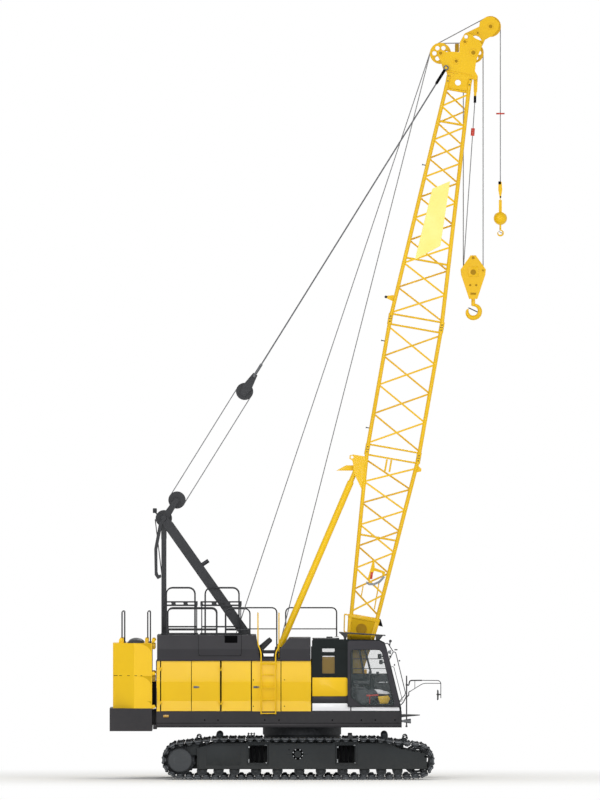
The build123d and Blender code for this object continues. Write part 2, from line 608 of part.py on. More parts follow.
def make_gantry():
    """A-frame: two legs, the head's cross tube with sheaves, and the lugs of the links."""
    foot, head = Vector(GANTRY_FOOT_X, 0, GANTRY_FOOT_Z), Vector(GANTRY_HEAD_X, 0, GANTRY_HEAD_Z)
    along = (head - foot).normalized()
    across = Vector(along.Z, 0, -along.X)
    half = GANTRY_DEPTH / 2
    outline = [foot - across * 60, foot + along * 500 - across * half, head - along * 200 - across * half,
               head - across * 80, head + along * 60, head + across * 80,
               head - along * 200 + across * half, foot + along * 500 + across * half,
               foot + across * 60, foot - along * 90]
    outline = [(point.X, point.Z) for point in outline]
    lug = [(LINK_X - 60, LINK_TOP - 110), (LINK_X - 60, 5900),
           (LINK_X + 60, 5900), (LINK_X + 60, LINK_TOP - 110)]
    pieces = []
    for side in (-1, 1):
        pieces.append(flat(outline, side * GIRDER_OUT, side * GANTRY_OUT))
        pieces.append(flat(lug, side * 545, side * 595))
    pieces.append(axle((head.X, head.Z), 70, -GANTRY_OUT, GANTRY_OUT))
    centre = foot + along * 2400
    pieces.append(axle((centre.X, centre.Z), 60, -GIRDER_OUT - 1, GIRDER_OUT + 1))
    for y in (-200, 0, 200):
        pieces.append(axle((head.X, head.Z), GANTRY_SHEAVE_R, y - 30, y + 30))
    for side in (-1, 1):
        for (low_x, low_z), (high_x, high_z), radius in GANTRY_STUBS:
            y = side * (GIRDER_OUT + GANTRY_OUT) / 2
            pieces.append(bar((low_x, y, low_z), (high_x, y, high_z), radius))
        pieces.append(flat(HANGER, side * (GANTRY_OUT - 1), side * (GANTRY_OUT + 24)))
    spreader = Vector(SPREADER[0], 0, SPREADER[1])
    for side in (-1, 1):
        pieces.append(flat([(head.X - 90, head.Z), (head.X + 90, head.Z - 60), (spreader.X + 60, spreader.Z),
                            (spreader.X - 40, spreader.Z + 60)], side * 330, side * 360))
    pieces.append(axle(SPREADER, 40, -331, 331))
    return join(pieces)


def make_links():
    """Rear links in pairs of plates, pinned to the mast's lugs and the girders."""
    pieces = []
    for side in (-1, 1):
        for low, high in ((GIRDER_OUT, 545 - TOUCH), (595 + TOUCH, GANTRY_OUT)):
            half = LINK_DEPTH_X / 2
            pieces.append(flat([(LINK_X - half, 1650), (LINK_X - half, LINK_TOP), (LINK_X + half, LINK_TOP),
                                (LINK_X + half, 1650)], side * low, side * high))
        pieces.append(axle((LINK_X, 1720), 40, side * GIRDER_OUT, side * GANTRY_OUT))
    return [join(pieces[:3]), join(pieces[3:])]


def tangent(low, low_r, high, high_r):
    """Ends of the straight part of a rope, laid on the rear sides of two wheels in one plane."""
    run = math.hypot(high[0] - low[0], high[1] - low[1])
    angle = math.atan2(high[1] - low[1], high[0] - low[0]) - math.asin((low_r - high_r) / run)
    ends = ((low, low_r), (high, high_r))
    return [(x - r * math.sin(angle), z + r * math.cos(angle)) for (x, z), r in ends]


def make_drums():
    """Three winch drums on shafts between the girders, and the boom hoist's lead rope."""
    pieces = []
    for x, core, flange in DRUMS:
        centre = (x, DRUM_Z)
        barrel = axle(centre, core, -DRUM_HALF, DRUM_HALF)
        shaft = axle(centre, SHAFT_R, -GIRDER_IN, GIRDER_IN)
        ends = [axle(centre, flange, y, y + FLANGE) for y in (-DRUM_HALF - FLANGE, DRUM_HALF)]
        pieces.append(join([barrel, shaft] + ends))
    x, core, _ = DRUMS[2]
    lay = TOUCH + ROPE_R
    (low_x, low_z), (high_x, high_z) = tangent((x, DRUM_Z), core + lay,
                                               (GANTRY_HEAD_X, GANTRY_HEAD_Z), GANTRY_SHEAVE_R + lay)
    pieces.append(bar((low_x, 0, low_z), (high_x, 0, high_z), ROPE_R))
    return pieces


def make_hoist_rope(drum, y):
    """Straight part of a hoist rope, from its drum up to the guide sheave."""
    x, core, _ = drum
    low, high = tangent((x, DRUM_Z), core + TOUCH + ROPE_R, GUIDE, GUIDE_R)
    return bar((low[0], y, low[1]), (high[0], y, high[1]), ROPE_R)


def make_ladder():
    """Boarding ladder that ends in grab rails beside the walkway."""
    y = -HALF_WIDTH - 60
    lines = []
    for x, mid_x, floor in ((-1074, -952, HOOD_TOP), (-538, -598, HOUSE_TOP + 40)):
        lines.append(rail([(mid_x, y, 1520), (mid_x, y, 2750), (x, y, 2960), (x, y, 3847),
                           (x, -HALF_WIDTH + 250, 3847), (x, -HALF_WIDTH + 250, floor)], 17))
    rungs = [bar((-960, y, z), (-590, y, z), 15) for z in (2815, 2460, 2110, 1830, 1535)]
    feet = [bar((x, y, z), (x, -HALF_WIDTH, z), 15) for x in (-952, -598) for z in (1600, 2650)]
    return join(lines + rungs + feet)


def make_handrails():
    """Guard rails along the hoods' outer and inner edges, and hoops on the counterweight."""
    pieces = []
    for side, rows in ((-1, RIGHT_RAILS), (1, LEFT_RAILS)):
        y = side * (HALF_WIDTH - 80)
        for rear, front, rear_floor, front_floor in rows:
            loop = rail([(rear, y, rear_floor), (rear, y, RAIL_TOP), (front, y, RAIL_TOP),
                         (front, y, front_floor)], 16)
            middle = bar((rear, y, RAIL_MIDDLE), (front, y, RAIL_MIDDLE), 13)
            pieces.append(join([loop, middle]))
        y = side * (CHANNEL + 60)
        for rear, front in UPPER_RAILS:
            loop = rail([(rear, y, HOOD_TOP), (rear, y, UPPER_RAIL_TOP), (front, y, UPPER_RAIL_TOP),
                         (front, y, HOOD_TOP)], 16)
            plate = block((rear - 110, front + 60), (y - 8, y + 8), (3960, 4085))
            posts = [block((x - 10, x + 10), (y - 12, y + 12), (HOOD_TOP, 3970))
                     for x in (rear - 80, front + 40)]
            pieces.append(join([loop, plate] + posts))
    floor = WEIGHT_LEVELS[-1] - WEIGHT_GAP
    for x in (-4126, -3532):
        for y in (-1100, 1100):
            loop = [(x - 46, y, floor), (x - 46, y, 3860), (x + 46, y, 3860), (x + 46, y, floor)]
            pieces.append(rail(loop, 14))
    return pieces


# ------------------------------------------------------------------------- cab
ROOF_FRONT, ROOF_FALL = 1790, 23
CAB_OUTLINE = [(CAB_REAR, CAB_FLOOR), (CAB_REAR, CAB_ROOF - 40), (CAB_REAR + 40, CAB_ROOF),
               (ROOF_FRONT, CAB_ROOF - ROOF_FALL), (1905, CAB_ROOF - 80), (1960, 2983),
               (NOSE_X - 10, CAB_FLOOR + 80), (NOSE_X - 10, CAB_FLOOR)]
CAB_ROOM = [(CAB_REAR + 60, CAB_FLOOR + 60), (CAB_REAR + 60, CAB_ROOF - 70), (1680, CAB_ROOF - 70),
            (1820, CAB_ROOF - 130), (1890, 2960),
            (NOSE_X - 75, CAB_FLOOR + 90), (NOSE_X - 75, CAB_FLOOR + 60)]
DOORWAY = [(1170, 1740), (1170, 2975), (1780, 2975), (1850, 2910), (2110, 1740)]
FAR_WINDOW = [(1100, 2427), (1100, 2975), (1780, 2975), (1850, 2900), (1965, 2427)]
DOOR_LEAF = [(1052, 1668), (1052, 3000), (1945, 3000), (2262, 1668)]
DOOR_HEAD = [(1052, 2990), (1052, 3150), (1092, 3190), (1780, 3190), (1890, 3125), (1945, 2990)]
DOOR_WINDOW = [(1383, 1695), (1122, 1880), (1122, 2940), (1160, 2985), (1785, 2985), (1840, 2935),
               (2130, 1735), (2100, 1695)]
FRONT_WINDOW_Y = (-CAB_OUTER + 100, -CAB_INNER - 100)
SIDE_WINDOWS = [((462, 757), (2432, 2846)), ((462, 757), (2918, 3036))]


def make_cab():
    """Hollow cab with its doorway and windows cut through the walls."""
    outer_y, inner_y = -CAB_OUTER, -CAB_INNER
    shell = flat(CAB_OUTLINE, outer_y, inner_y)
    room = flat(CAB_ROOM, outer_y + CAB_WALL, inner_y - CAB_WALL)
    doorway = flat(DOORWAY, outer_y - 1, outer_y + CAB_WALL + 1)
    far = flat(FAR_WINDOW, inner_y - CAB_WALL - 1, inner_y + 1)
    front = block((1900, NOSE_X + 1), FRONT_WINDOW_Y, (1900, 2860))
    roof = block((900, 1600), FRONT_WINDOW_Y, (CAB_ROOF - 71, CAB_ROOF + 1))
    cuts = [room, doorway, far, front, roof]
    door_rail = block((420, 1820), (outer_y, outer_y - DOOR_RAIL), DOOR_RAIL_Z)
    for x, z in SIDE_WINDOWS:
        cuts.append(block(x, (outer_y - 1, inner_y + 1), z))
    return join([shell.cut(*cuts), door_rail])


def make_cab_door():
    """Sliding leaf outside the cab's wall, with its window cut."""
    y = (-CAB_DOOR_IN, -CAB_DOOR_IN - CAB_DOOR)
    head = flat(DOOR_HEAD, -CAB_OUTER - DOOR_RAIL - CLEAR, y[1])
    leaf = join([flat(DOOR_LEAF, *y), head]).cut(flat(DOOR_WINDOW, y[0] + 1, y[1] - 1))
    lip = block((1100, 1760), (-CAB_OUTER - TOUCH, y[1]), (DOOR_RAIL_Z[1] + TOUCH, DOOR_RAIL_Z[1] + 12))
    leaf = join([leaf, lip])
    pane = flat(DOOR_WINDOW, y[0] - 15, y[0] - 15 - GLASS)
    return leaf, pane


def make_cab_glass():
    """Panes of the cab's fixed windows, set in the middle of its walls."""
    inner = -CAB_INNER - CAB_WALL / 2
    outer = -CAB_OUTER + CAB_WALL / 2
    panes = [flat(FAR_WINDOW, inner, inner - GLASS)]
    for (rear, front), (low, high) in SIDE_WINDOWS:
        panes.append(block((rear, front), (outer, outer + GLASS), (low, high)))
        panes.append(block((rear, front), (inner - GLASS, inner), (low, high)))
    panes.append(block((900, 1600), FRONT_WINDOW_Y, (CAB_ROOF - 40, CAB_ROOF - 40 + GLASS)))
    slope = (NOSE_X - 10 - 1960) / (2983 - CAB_FLOOR - 80)
    low, high = 1900, 2860
    (low_x, high_x) = [1960 + (2983 - z) * slope - 35 for z in (low, high)]
    pane = [(low_x, low), (low_x + GLASS, low), (high_x + GLASS, high), (high_x, high)]
    panes.append(flat(pane, *FRONT_WINDOW_Y))
    return panes


def make_seat():
    """Driver's seat on its plinth."""
    middle = -(CAB_INNER + CAB_OUTER) / 2
    floor = CAB_FLOOR + 60
    plinth = block((1000, 1400), (middle - 200, middle + 200), (floor, floor + 350))
    cushion = block((950, 1480), (middle - 250, middle + 250), (floor + 349, floor + 480))
    back = flat([(960, floor + 470), (1080, floor + 470), (980, floor + 1150), (860, floor + 1150)],
                middle - 240, middle + 240)
    console = block((1650, 1800), (middle - 120, middle + 120), (floor, floor + 800))
    return [join([plinth, cushion, back]), console]


def make_mirrors():
    """Front rails of the cab: step blade, lamp, pole, mirror arm with its mirror, roof guard."""
    y = -CAB_OUTER + 60
    front = NOSE_X - 10
    step = block((NOSE_X, 2714), (y - 250, y + 250), (1455, 1485))
    pole = bar((2414, y, 1480), (2414, y, 2382), 15)
    arm = rail([(2414, y, 2275), (3192, y, 2275), (3192, y, 2100)], 12)
    brace = rail([(2414, y, 2330), (2795, y, 2204), (3192, y, 2204)], 10)
    mirror = block((3080, 3160), (y - 110, y + 110), (1815, 2080))
    hanger = bar((3192, y, 2110), (3120, y, 2060), 12)
    low_arm = bar((front - 10, y, 1700), (2414, y, 1700), 12)
    guard_y = (-CAB_OUTER + 50, -CAB_INNER - 75)
    guard = flat([(850, 3370), (850, 3390), (1920, 3320), (1920, 3300)], *guard_y)
    posts = []
    for x, top in ((982, 3368), (1690, 3322)):
        roof = CAB_ROOF - ROOF_FALL * (x - 14 - CAB_REAR - 40) / (ROOF_FRONT - CAB_REAR - 40) + TOUCH
        posts += [bar((x, gy, roof), (x, gy, top), 14) for gy in (guard_y[0] + 50, guard_y[1] - 50)]
    return [join([step, pole, arm, brace, hanger, mirror, low_arm]), join([guard] + posts)]


def make_tank():
    """Fuel tank and step on the left, across from the cab."""
    tank_y = (CHANNEL + 10, HALF_WIDTH - 20)
    tank = block((CAB_REAR + 20, TANK_FRONT), tank_y, (SILL_TOP, HOUSE_TOP))
    low_tank = block((TANK_FRONT - 1, 1500), tank_y, (SILL_TOP, 2500))
    step = block((1500, 2250), (CHANNEL + 10, HALF_WIDTH - 20), (SILL_TOP, SILL_TOP + 40))
    return join([tank, low_tank, step])


# ======================================================================= boom
FOOT = Vector(BOOM_FOOT_X, 0, BOOM_FOOT_Z)
BOOM_U = Vector(math.cos(math.radians(BOOM_ANGLE)), 0, math.sin(math.radians(BOOM_ANGLE)))
BOOM_V = Vector(BOOM_U.Z, 0, -BOOM_U.X)


def boom_point(u, v, y=0):
    """Place on the boom: u along it from the foot pin, v forward across it."""
    return FOOT + BOOM_U * u + BOOM_V * v + Vector(0, y, 0)


def boom_flat(outline, y_from, y_to):
    """Plate between two Y planes, from an outline of (u, v) points on the boom."""
    points = [boom_point(u, v) for u, v in outline]
    return flat([(point.X, point.Z) for point in points], y_from, y_to)


def boom_axle(u, v, radius, y_from, y_to):
    point = boom_point(u, v)
    return axle((point.X, point.Z), radius, y_from, y_to)


def strip(points, width, overlap):
    """Outline of a flat bar folded to and fro across the X direction.

    Each fold is cut off square at an overlap beyond its point, so that it ends inside a chord.
    """
    half = width / 2
    left, right = [], []
    steps = [(b - a).normalized() for a, b in zip(points, points[1:])]
    normals = [Vector(-step.Y, step.X, 0) for step in steps]
    for index, point in enumerate(points):
        if index in (0, len(points) - 1):
            normal = normals[min(index, len(normals) - 1)]
            left.append(point + normal * half)
            right.append(point - normal * half)
            continue
        outward = 1 if steps[index - 1].Y > 0 else -1
        outer, inner = (left, right) if outward > 0 else (right, left)
        for step, normal in zip(steps[index - 1:index + 1], normals[index - 1:index + 1]):
            edge = normal * (half * outward)
            run = (overlap * outward - edge.Y) / step.Y
            outer.append(point + edge + step * run)
        mitre = (normals[index - 1] + normals[index]).normalized() * outward
        inner.append(point - mitre * (half / abs(mitre.dot(normals[index]))))
    return left + right[::-1]


def bay_ends(bays, closing):
    """Shares of a length at which its bays end, with each bay shorter than the one before."""
    lengths = [closing ** (index / (bays - 1)) for index in range(bays)]
    return [sum(lengths[:index]) / sum(lengths) for index in range(bays + 1)]


def zigzag(chord_a, chord_b, shares, flip):
    """Lacing folded to and fro between two chords, at the given shares of their length."""
    start = chord_a[0]
    x_dir = (chord_a[1] - chord_a[0]).normalized()
    plane = Plane(start, x_dir=x_dir, z_dir=x_dir.cross(chord_b[0] - start))
    points = []
    for index, share in enumerate(shares):
        low, high = chord_a if (index + flip) % 2 == 0 else chord_b
        points.append(plane.to_local_coords(low + (high - low) * share))
    corners = [plane.from_local_coords(corner) for corner in strip(points, LACE, CHORD_R / 3)]
    push = plane.z_dir * (LACE / 2)
    face = Face(Wire.make_polygon([corner - push for corner in corners], close=True))
    return Solid.extrude(face, push * 2)


def lattice(low, high, shares, laced, crosses, front_bays=None):
    """Box of four chords and four laced faces, cut square at both ends.

    Each section is (u, rear v, front v, half width). The faces are laced between the two places
    along the boom in laced, and crosses has the places of the bars straight across. With
    front_bays, the front face is laced over that many bays only, and open above.
    """
    def corner(u, front, side):
        share = (u - low[0]) / (high[0] - low[0])
        rear_v, front_v, half = [a + (b - a) * share for a, b in zip(low[1:], high[1:])]
        return boom_point(u, front_v if front else rear_v, side * half)

    def chord(front, side, start, end):
        return corner(start, front, side), corner(end, front, side)

    seam = (0.6, 0.8, 0)
    keys = [(front, side) for front in (False, True) for side in (-1, 1)]
    pieces = [bar(*chord(*key, low[0] - 12, high[0] + 12), CHORD_R, seam) for key in keys]
    lace = {key: chord(*key, *laced) for key in keys}
    for side in (-1, 1):
        pieces.append(zigzag(lace[False, side], lace[True, side], shares, side > 0))
        for u in crosses:
            pieces.append(bar(corner(u, False, side), corner(u, True, side), LACE / 2))
    pieces.append(zigzag(lace[False, -1], lace[False, 1], shares, False))
    front_shares = shares[:front_bays + 1] if front_bays else shares
    pieces.append(zigzag(lace[True, -1], lace[True, 1], front_shares, True))
    front_end = laced[0] + (laced[1] - laced[0]) * front_shares[-1]
    for u in (crosses[0], crosses[-1]):
        pieces.append(bar(corner(u, False, -1), corner(u, False, 1), LACE / 2))
    for u in (crosses[0], front_end if front_bays else crosses[-1]):
        pieces.append(bar(corner(u, True, -1), corner(u, True, 1), LACE / 2))
    ends = [boom_flat([(u, -900), (u + step, -900), (u + step, 900), (u, 900)], -700, 700)
            for u, step in ((low[0], -60), (high[0], 60))]
    return join(pieces).cut(*ends)


def make_boom_base():
    """Foot legs with their cross tube, the laced base, and the backstops' brackets."""
    start = LEG_TOP - 150
    rear_slope = (BOOM_REAR - LEG_REAR) / (BASE_END - LEG_TOP)
    front_slope = (BOOM_FRONT - LEG_FRONT) / (BASE_END - LEG_TOP)
    low = (start, -LEG_REAR + rear_slope * 150, LEG_FRONT - front_slope * 150, BOOM_HALF)
    high = (BASE_END, -BOOM_REAR, BOOM_FRONT, BOOM_HALF)
    laced = (LEG_TOP + 90, BASE_END - 245)
    crosses = (LEG_TOP + 5, BASE_FRAME_U, BASE_END - CROSS_AT)
    pieces = [lattice(low, high, bay_ends(BASE_BAYS, 1), laced, crosses)]
    chord_out = CHORD_R + 20
    for side in (-1, 1):
        inner, outer = side * (BOOM_HALF - LEG / 2), side * (BOOM_HALF + LEG / 2)
        leg = boom_flat([(0, -120), (1000, -215), (1350, -LEG_REAR), (LEG_TOP, -LEG_REAR - chord_out),
                         (LEG_TOP, LEG_FRONT + chord_out), (1350, LEG_FRONT), (1000, 250), (0, 120)],
                        inner, outer)
        lug = boom_axle(0, 0, 125, inner, outer)
        pieces += [leg, lug]
        for offset in (-tube_gap(), tube_gap()):
            middle = side * BACKSTOP_Y + offset
            bracket = [(BRACKET_U - 440, -BOOM_REAR + 30), (BRACKET_U - 90, BRACKET_V - 50),
                       (BRACKET_U + 90, BRACKET_V - 90), (HOLE_U - 80, HOLE_V + 20),
                       (HOLE_U - 45, HOLE_V - 55), (HOLE_U + 30, HOLE_V - 60),
                       (HOLE_U + 65, HOLE_V + 20), (HOLE_U + 70, -BOOM_REAR + 30)]
            pieces.append(boom_flat(bracket, middle - 10, middle + 10))
        tie = boom_flat([(HOLE_U - 20, BRACKET_V + 16), (HOLE_U + 40, BRACKET_V + 16),
                         (HOLE_U + 40, -BOOM_REAR + 30), (HOLE_U - 20, -BOOM_REAR + 30)],
                        side * BACKSTOP_Y - tube_gap(), side * BACKSTOP_Y + tube_gap())
        pieces.append(tie)
        front_lug = boom_flat([(BASE_END - 362, BOOM_FRONT - 60), (BASE_END - 292, BOOM_FRONT + 110),
                               (BASE_END - 232, BOOM_FRONT + 110), (BASE_END - 152, BOOM_FRONT)],
                              side * (BOOM_HALF - 12), side * (BOOM_HALF + 12))
        pieces.append(front_lug)
    pieces.append(boom_axle(BOSS_U, 0, BOSS_R, -BOOM_HALF - LEG / 2 - 15, BOOM_HALF + LEG / 2 + 15))
    base = join(pieces)
    holes = [boom_axle(0, 0, BOOM_PIN_R + TURN, -700, 700),
             boom_axle(HOLE_U, HOLE_V, HOLE_R, -700, 700)]
    return base.cut(*holes)


def tube_gap():
    """From a backstop's middle to the middle of a bracket plate beside its eye."""
    return BACKSTOP_EYE / 2 + CLEAR + 10


def make_boom_insert():
    section = (-BOOM_REAR, BOOM_FRONT, BOOM_HALF)
    laced = (BASE_END + 155, INSERT_END - 190)
    crosses = (BASE_END + CROSS_AT, INSERT_END - CROSS_AT)
    return lattice((BASE_END, *section), (INSERT_END, *section), bay_ends(INSERT_BAYS, 1), laced, crosses)


def make_boom_tip():
    """Tapering section with the pierced plates under the head."""
    low = (INSERT_END, -BOOM_REAR, BOOM_FRONT, BOOM_HALF)
    high = (TIP_END, -HEAD_REAR, HEAD_FRONT, HEAD_HALF)
    laced = (INSERT_END + 150, TIP_END - PIERCED - 75)
    crosses = (INSERT_END + CROSS_AT, *TIP_FRAME_US, TIP_END - PIERCED - 30)
    pieces = [lattice(low, high, bay_ends(TIP_BAYS, TIP_CLOSING), laced, crosses, TIP_FRONT_BAYS)]
    plate = [(TIP_END - PIERCED, -HEAD_REAR), (TIP_END, -HEAD_REAR),
             (TIP_END, HEAD_FRONT), (TIP_END - PIERCED, HEAD_FRONT)]
    for side in (-1, 1):
        pieces.append(boom_flat(plate, side * (HEAD_HALF - 15), side * (HEAD_HALF + 15)))
    return join(pieces).cut(boom_axle(TIP_END - 125, 6, 70, -500, 500))


SIGN = [(11871, -150), (12113, 222), (10606, 262), (10184, -262)]
SIGN_PLATE = 8


def make_sign():
    """Blank plates on the outside of the tip section's lacing, one on each side."""
    taper = (BOOM_HALF - HEAD_HALF) / (TIP_END - INSERT_END)
    plates = []
    for side in (-1, 1):
        corners = []
        for u, v in SIGN:
            half = BOOM_HALF - taper * (u - INSERT_END) + LACE / 2 + TOUCH
            corners.append(boom_point(u, v, side * half))
        face = Face(Wire.make_polygon(corners, close=True))
        plates.append(Solid.extrude(face, Vector(0, side * SIGN_PLATE, 0)))
    return plates


HEAD_PLATE = [(3355, 16240), (4018, 16129), (4056, 16225), (3993, 16331), (4012, 16493), (4050, 16650),
              (4168, 16932), (4060, 17080), (3890, 17190), (3756, 17190), (3642, 16979), (3630, 16768),
              (3455, 16782), (3340, 16772), (3250, 16812), (3170, 16812), (3122, 16760), (3135, 16690),
              (3200, 16570), (3262, 16380), (3340, 16320)]
HEAD_SLOT = [(3945, 17142), (4009, 17155), (4086, 17129), (4150, 17052), (4125, 17040), (4048, 17065),
             (3996, 17091)]
NOSE_PLATE = [(3640, 16990), (3700, 16840), (3960, 16640), (4110, 16800), (4230, 17060), (4400, 17150),
              (4540, 17300), (4560, 17440), (4420, 17580), (4260, 17590), (4110, 17480), (4090, 17360),
              (3756, 17200)]


def make_head():
    """Pair of side plates that carry the sheaves, joined behind them."""
    hole = axle(LINK_HOLE, LINK_HOLE_R + CLEAR, -HEAD_OUT - 1, HEAD_OUT + 1)
    slot = flat(HEAD_SLOT, -HEAD_OUT - 1, HEAD_OUT + 1)
    pieces = [flat(HEAD_PLATE, side * HEAD_IN, side * HEAD_OUT).cut(hole, slot) for side in (-1, 1)]
    pieces.append(axle((3560, 16560), 50, -HEAD_IN - 1, HEAD_IN + 1))
    base = [boom_point(TIP_END, -HEAD_REAR - 30), boom_point(TIP_END + 60, -HEAD_REAR - 30),
            boom_point(TIP_END + 60, -HEAD_REAR + 120), boom_point(TIP_END, -HEAD_REAR + 120)]
    pieces.append(flat([(point.X, point.Z) for point in base], -HEAD_HALF - 30, HEAD_HALF + 30))
    for side in (-1, 1):
        y = side * STAY_Y
        pieces.append(axle(STAY_PIN, 28, side * (HEAD_IN + 1), y + side * 30))
        foot = [boom_point(TIP_END, -HEAD_REAR - 30), boom_point(TIP_END + 70, -HEAD_REAR - 30),
                boom_point(TIP_END + 70, HEAD_FRONT + 30), boom_point(TIP_END, HEAD_FRONT + 30)]
        pieces.append(flat([(p.X, p.Z) for p in foot], side * HEAD_IN, side * (HEAD_HALF + 15)))
    return join(pieces)


def make_nose():
    """Cheeks of the nose sheave, on a cross tube between the head's plates."""
    pieces = [flat(NOSE_PLATE, side * NOSE_IN, side * NOSE_OUT) for side in (-1, 1)]
    pieces.append(axle((3760, 17010), 45, -HEAD_IN, HEAD_IN))
    pieces.append(axle((4060, 17215), 30, -NOSE_IN - 1, NOSE_IN + 1))
    hole = axle(LINK_HOLE, LINK_HOLE_R, -NOSE_OUT - 1, NOSE_OUT + 1)
    bore = axle(MAIN, 50 + TOUCH, -NOSE_OUT - 1, NOSE_OUT + 1)
    slot = flat(HEAD_SLOT, -NOSE_OUT - 1, NOSE_OUT + 1)
    return join(pieces).cut(hole, bore, slot)


def sheave(centre, radius, y, holes=0):
    """Grooved wheel round a point, with its middle at y and a ring of light holes."""
    half = SHEAVE_WIDTH / 2
    rim, seat, groove = radius + 14, radius - ROPE_R - TOUCH, ROPE_R + TOUCH
    profile = [(0, -half), (rim, -half), (rim, -half + 6), (seat, -groove),
               (seat, groove), (rim, half - 6), (rim, half), (0, half)]
    corners = [Vector(centre[0] + r, y + offset, centre[1]) for r, offset in profile]
    face = Face(Wire.make_polygon(corners, close=True))
    wheel = Solid.revolve(face, 360, Axis((centre[0], 0, centre[1]), (0, 1, 0)))
    cuts = []
    for index in range(holes):
        angle = math.tau * index / holes
        place = (centre[0] + radius * 0.6 * math.cos(angle), centre[1] + radius * 0.6 * math.sin(angle))
        cuts.append(axle(place, radius * 0.22, y - half - 1, y + half + 1))
    return wheel.cut(*cuts) if cuts else wheel


def make_head_sheaves():
    """Main pair, guide pair and nose sheave, each set on its pin."""
    sets = []
    for centre, radius, ys, reach, pin in ((MAIN, MAIN_R, (-SHEAVE_Y, SHEAVE_Y), HEAD_IN, 50),
                                           (GUIDE, GUIDE_R, (-SHEAVE_Y, SHEAVE_Y), HEAD_IN, 40),
                                           (NOSE, NOSE_R, (0,), NOSE_IN, 40)):
        wheels = [sheave(centre, radius, y, SHEAVE_HOLES) for y in ys]
        sets.append(join([axle(centre, pin, -reach, reach)] + wheels))
    return sets


# ================================================================== backstops
def backstop_line(distance):
    """Place along a backstop's axis, measured from its lower pin."""
    foot = Vector(BACKSTOP_X, 0, BACKSTOP_Z)
    return foot + (boom_point(BRACKET_U, BRACKET_V) - foot).normalized() * distance


def make_backstops():
    """Outer tubes with their lower eyes, and the rods that slide in them."""
    length = (boom_point(BRACKET_U, BRACKET_V) - backstop_line(0)).length
    tube_end = length - BACKSTOP_ROD_OUT
    tubes, rods = [], []
    for y in (-BACKSTOP_Y, BACKSTOP_Y):
        shift = Vector(0, y, 0)
        tube = bar(backstop_line(60) + shift, backstop_line(tube_end) + shift, BACKSTOP_R)
        eye = axle((BACKSTOP_X, BACKSTOP_Z), 80, y - BACKSTOP_R, y + BACKSTOP_R)
        bore = bar(backstop_line(450) + shift, backstop_line(tube_end + 1) + shift, BACKSTOP_ROD_R + TURN)
        pin_bore = axle((BACKSTOP_X, BACKSTOP_Z), BACKSTOP_PIN_R + TURN, y - 100, y + 100)
        tubes.append(join([tube, eye]).cut(bore, pin_bore))
        rod_ends = (backstop_line(tube_end - ROD_INSIDE) + shift, backstop_line(length - 40) + shift)
        rod = bar(*rod_ends, BACKSTOP_ROD_R)
        top = backstop_line(length)
        rod_eye = axle((top.X, top.Z), 75, y - BACKSTOP_EYE / 2, y + BACKSTOP_EYE / 2)
        rods.append(join([rod, rod_eye]))
    return tubes, rods


# ==================================================================== luffing
def stay_line(distance, y=0):
    """Place on the line from the spreader's pin to the stays' upper pins."""
    start = Vector(SPREADER[0], 0, SPREADER[1])
    end = Vector(STAY_PIN[0], 0, STAY_PIN[1])
    return start + (end - start).normalized() * distance + Vector(0, y, 0)


def make_spreader():
    """Lower sheave block that swings on the gantry's head."""
    pieces = [axle(SPREADER, 70, -240, 240)]
    for y in (-200, -70, 70, 200):
        pieces.append(sheave(SPREADER, SPREADER_R, y))
    piece = join(pieces)
    return piece.cut(axle(SPREADER, 40 + TURN, -400, 400))


def make_luffing_ropes():
    """Parts of the boom hoist rope between the spreader and the bridle."""
    ropes = []
    along = (stay_line(1) - stay_line(0)).normalized()
    across = Vector(along.Z, 0, -along.X)
    for y in (-200, -70, 70, 200):
        for side in (-1, 1):
            shift = across * (side * SPREADER_R) + Vector(0, y, 0)
            ropes.append(bar(stay_line(5) + shift, stay_line(BRIDLE_AT - 5) + shift, ROPE_R))
    return ropes


def make_bridle():
    """Upper sheave block with its plates and the pins of the stays."""
    centre = stay_line(BRIDLE_AT)
    point = (centre.X, centre.Z)
    pieces = [axle(point, 45, -290, 290)]
    for y in (-200, -70, 70, 200):
        pieces.append(sheave(point, SPREADER_R, y))
    along = (stay_line(1) - stay_line(0)).normalized()
    across = Vector(along.Z, 0, -along.X)
    outline = []
    for distance, half in ((BRIDLE_AT - 110, 60), (BRIDLE_AT + 120, 110), (STAY_AT + 60, 55)):
        outline.append(stay_line(distance) - across * half)
    for distance, half in ((STAY_AT + 60, 55), (BRIDLE_AT + 120, 110), (BRIDLE_AT - 110, 60)):
        outline.append(stay_line(distance) + across * half)
    outline = [(point.X, point.Z) for point in outline]
    for side in (-1, 1):
        pieces.append(flat(outline, side * 275, side * 305))
    tie = stay_line(STAY_AT)
    pieces.append(axle((tie.X, tie.Z), 30, -340, 340))
    return join(pieces)


def make_stays():
    """Pendant ropes with a socket at each end."""
    length = (Vector(STAY_PIN[0], 0, STAY_PIN[1]) - stay_line(0)).length
    stays = []
    for y in (-STAY_Y, STAY_Y):
        rope = bar(stay_line(STAY_AT, y), stay_line(length - 60, y), STAY_R)
        low = bar(stay_line(STAY_AT - 20, y), stay_line(STAY_AT + 330, y), 32)
        high = bar(stay_line(length - 370, y), stay_line(length - 50, y), 32)
        eye = axle(STAY_PIN, 60, y - 24, y + 24)
        hole = axle(STAY_PIN, 28 + TURN, y - 60, y + 60)
        stays.append(join([rope, low, high, eye]).cut(hole))
    return stays


# ====================================================================== hooks
DEAD_END, DEAD_END_Y = (4010, 16180), -200
DEAD_ROPE_TOP = (3990, DEAD_END_Y, 15604)
DEAD_ROPE_END = (MAIN[0] - MAIN_R, -SHEAVE_Y, BLOCK_WIDE_Z + 60)
SECOND_X = NOSE[0] + NOSE_R


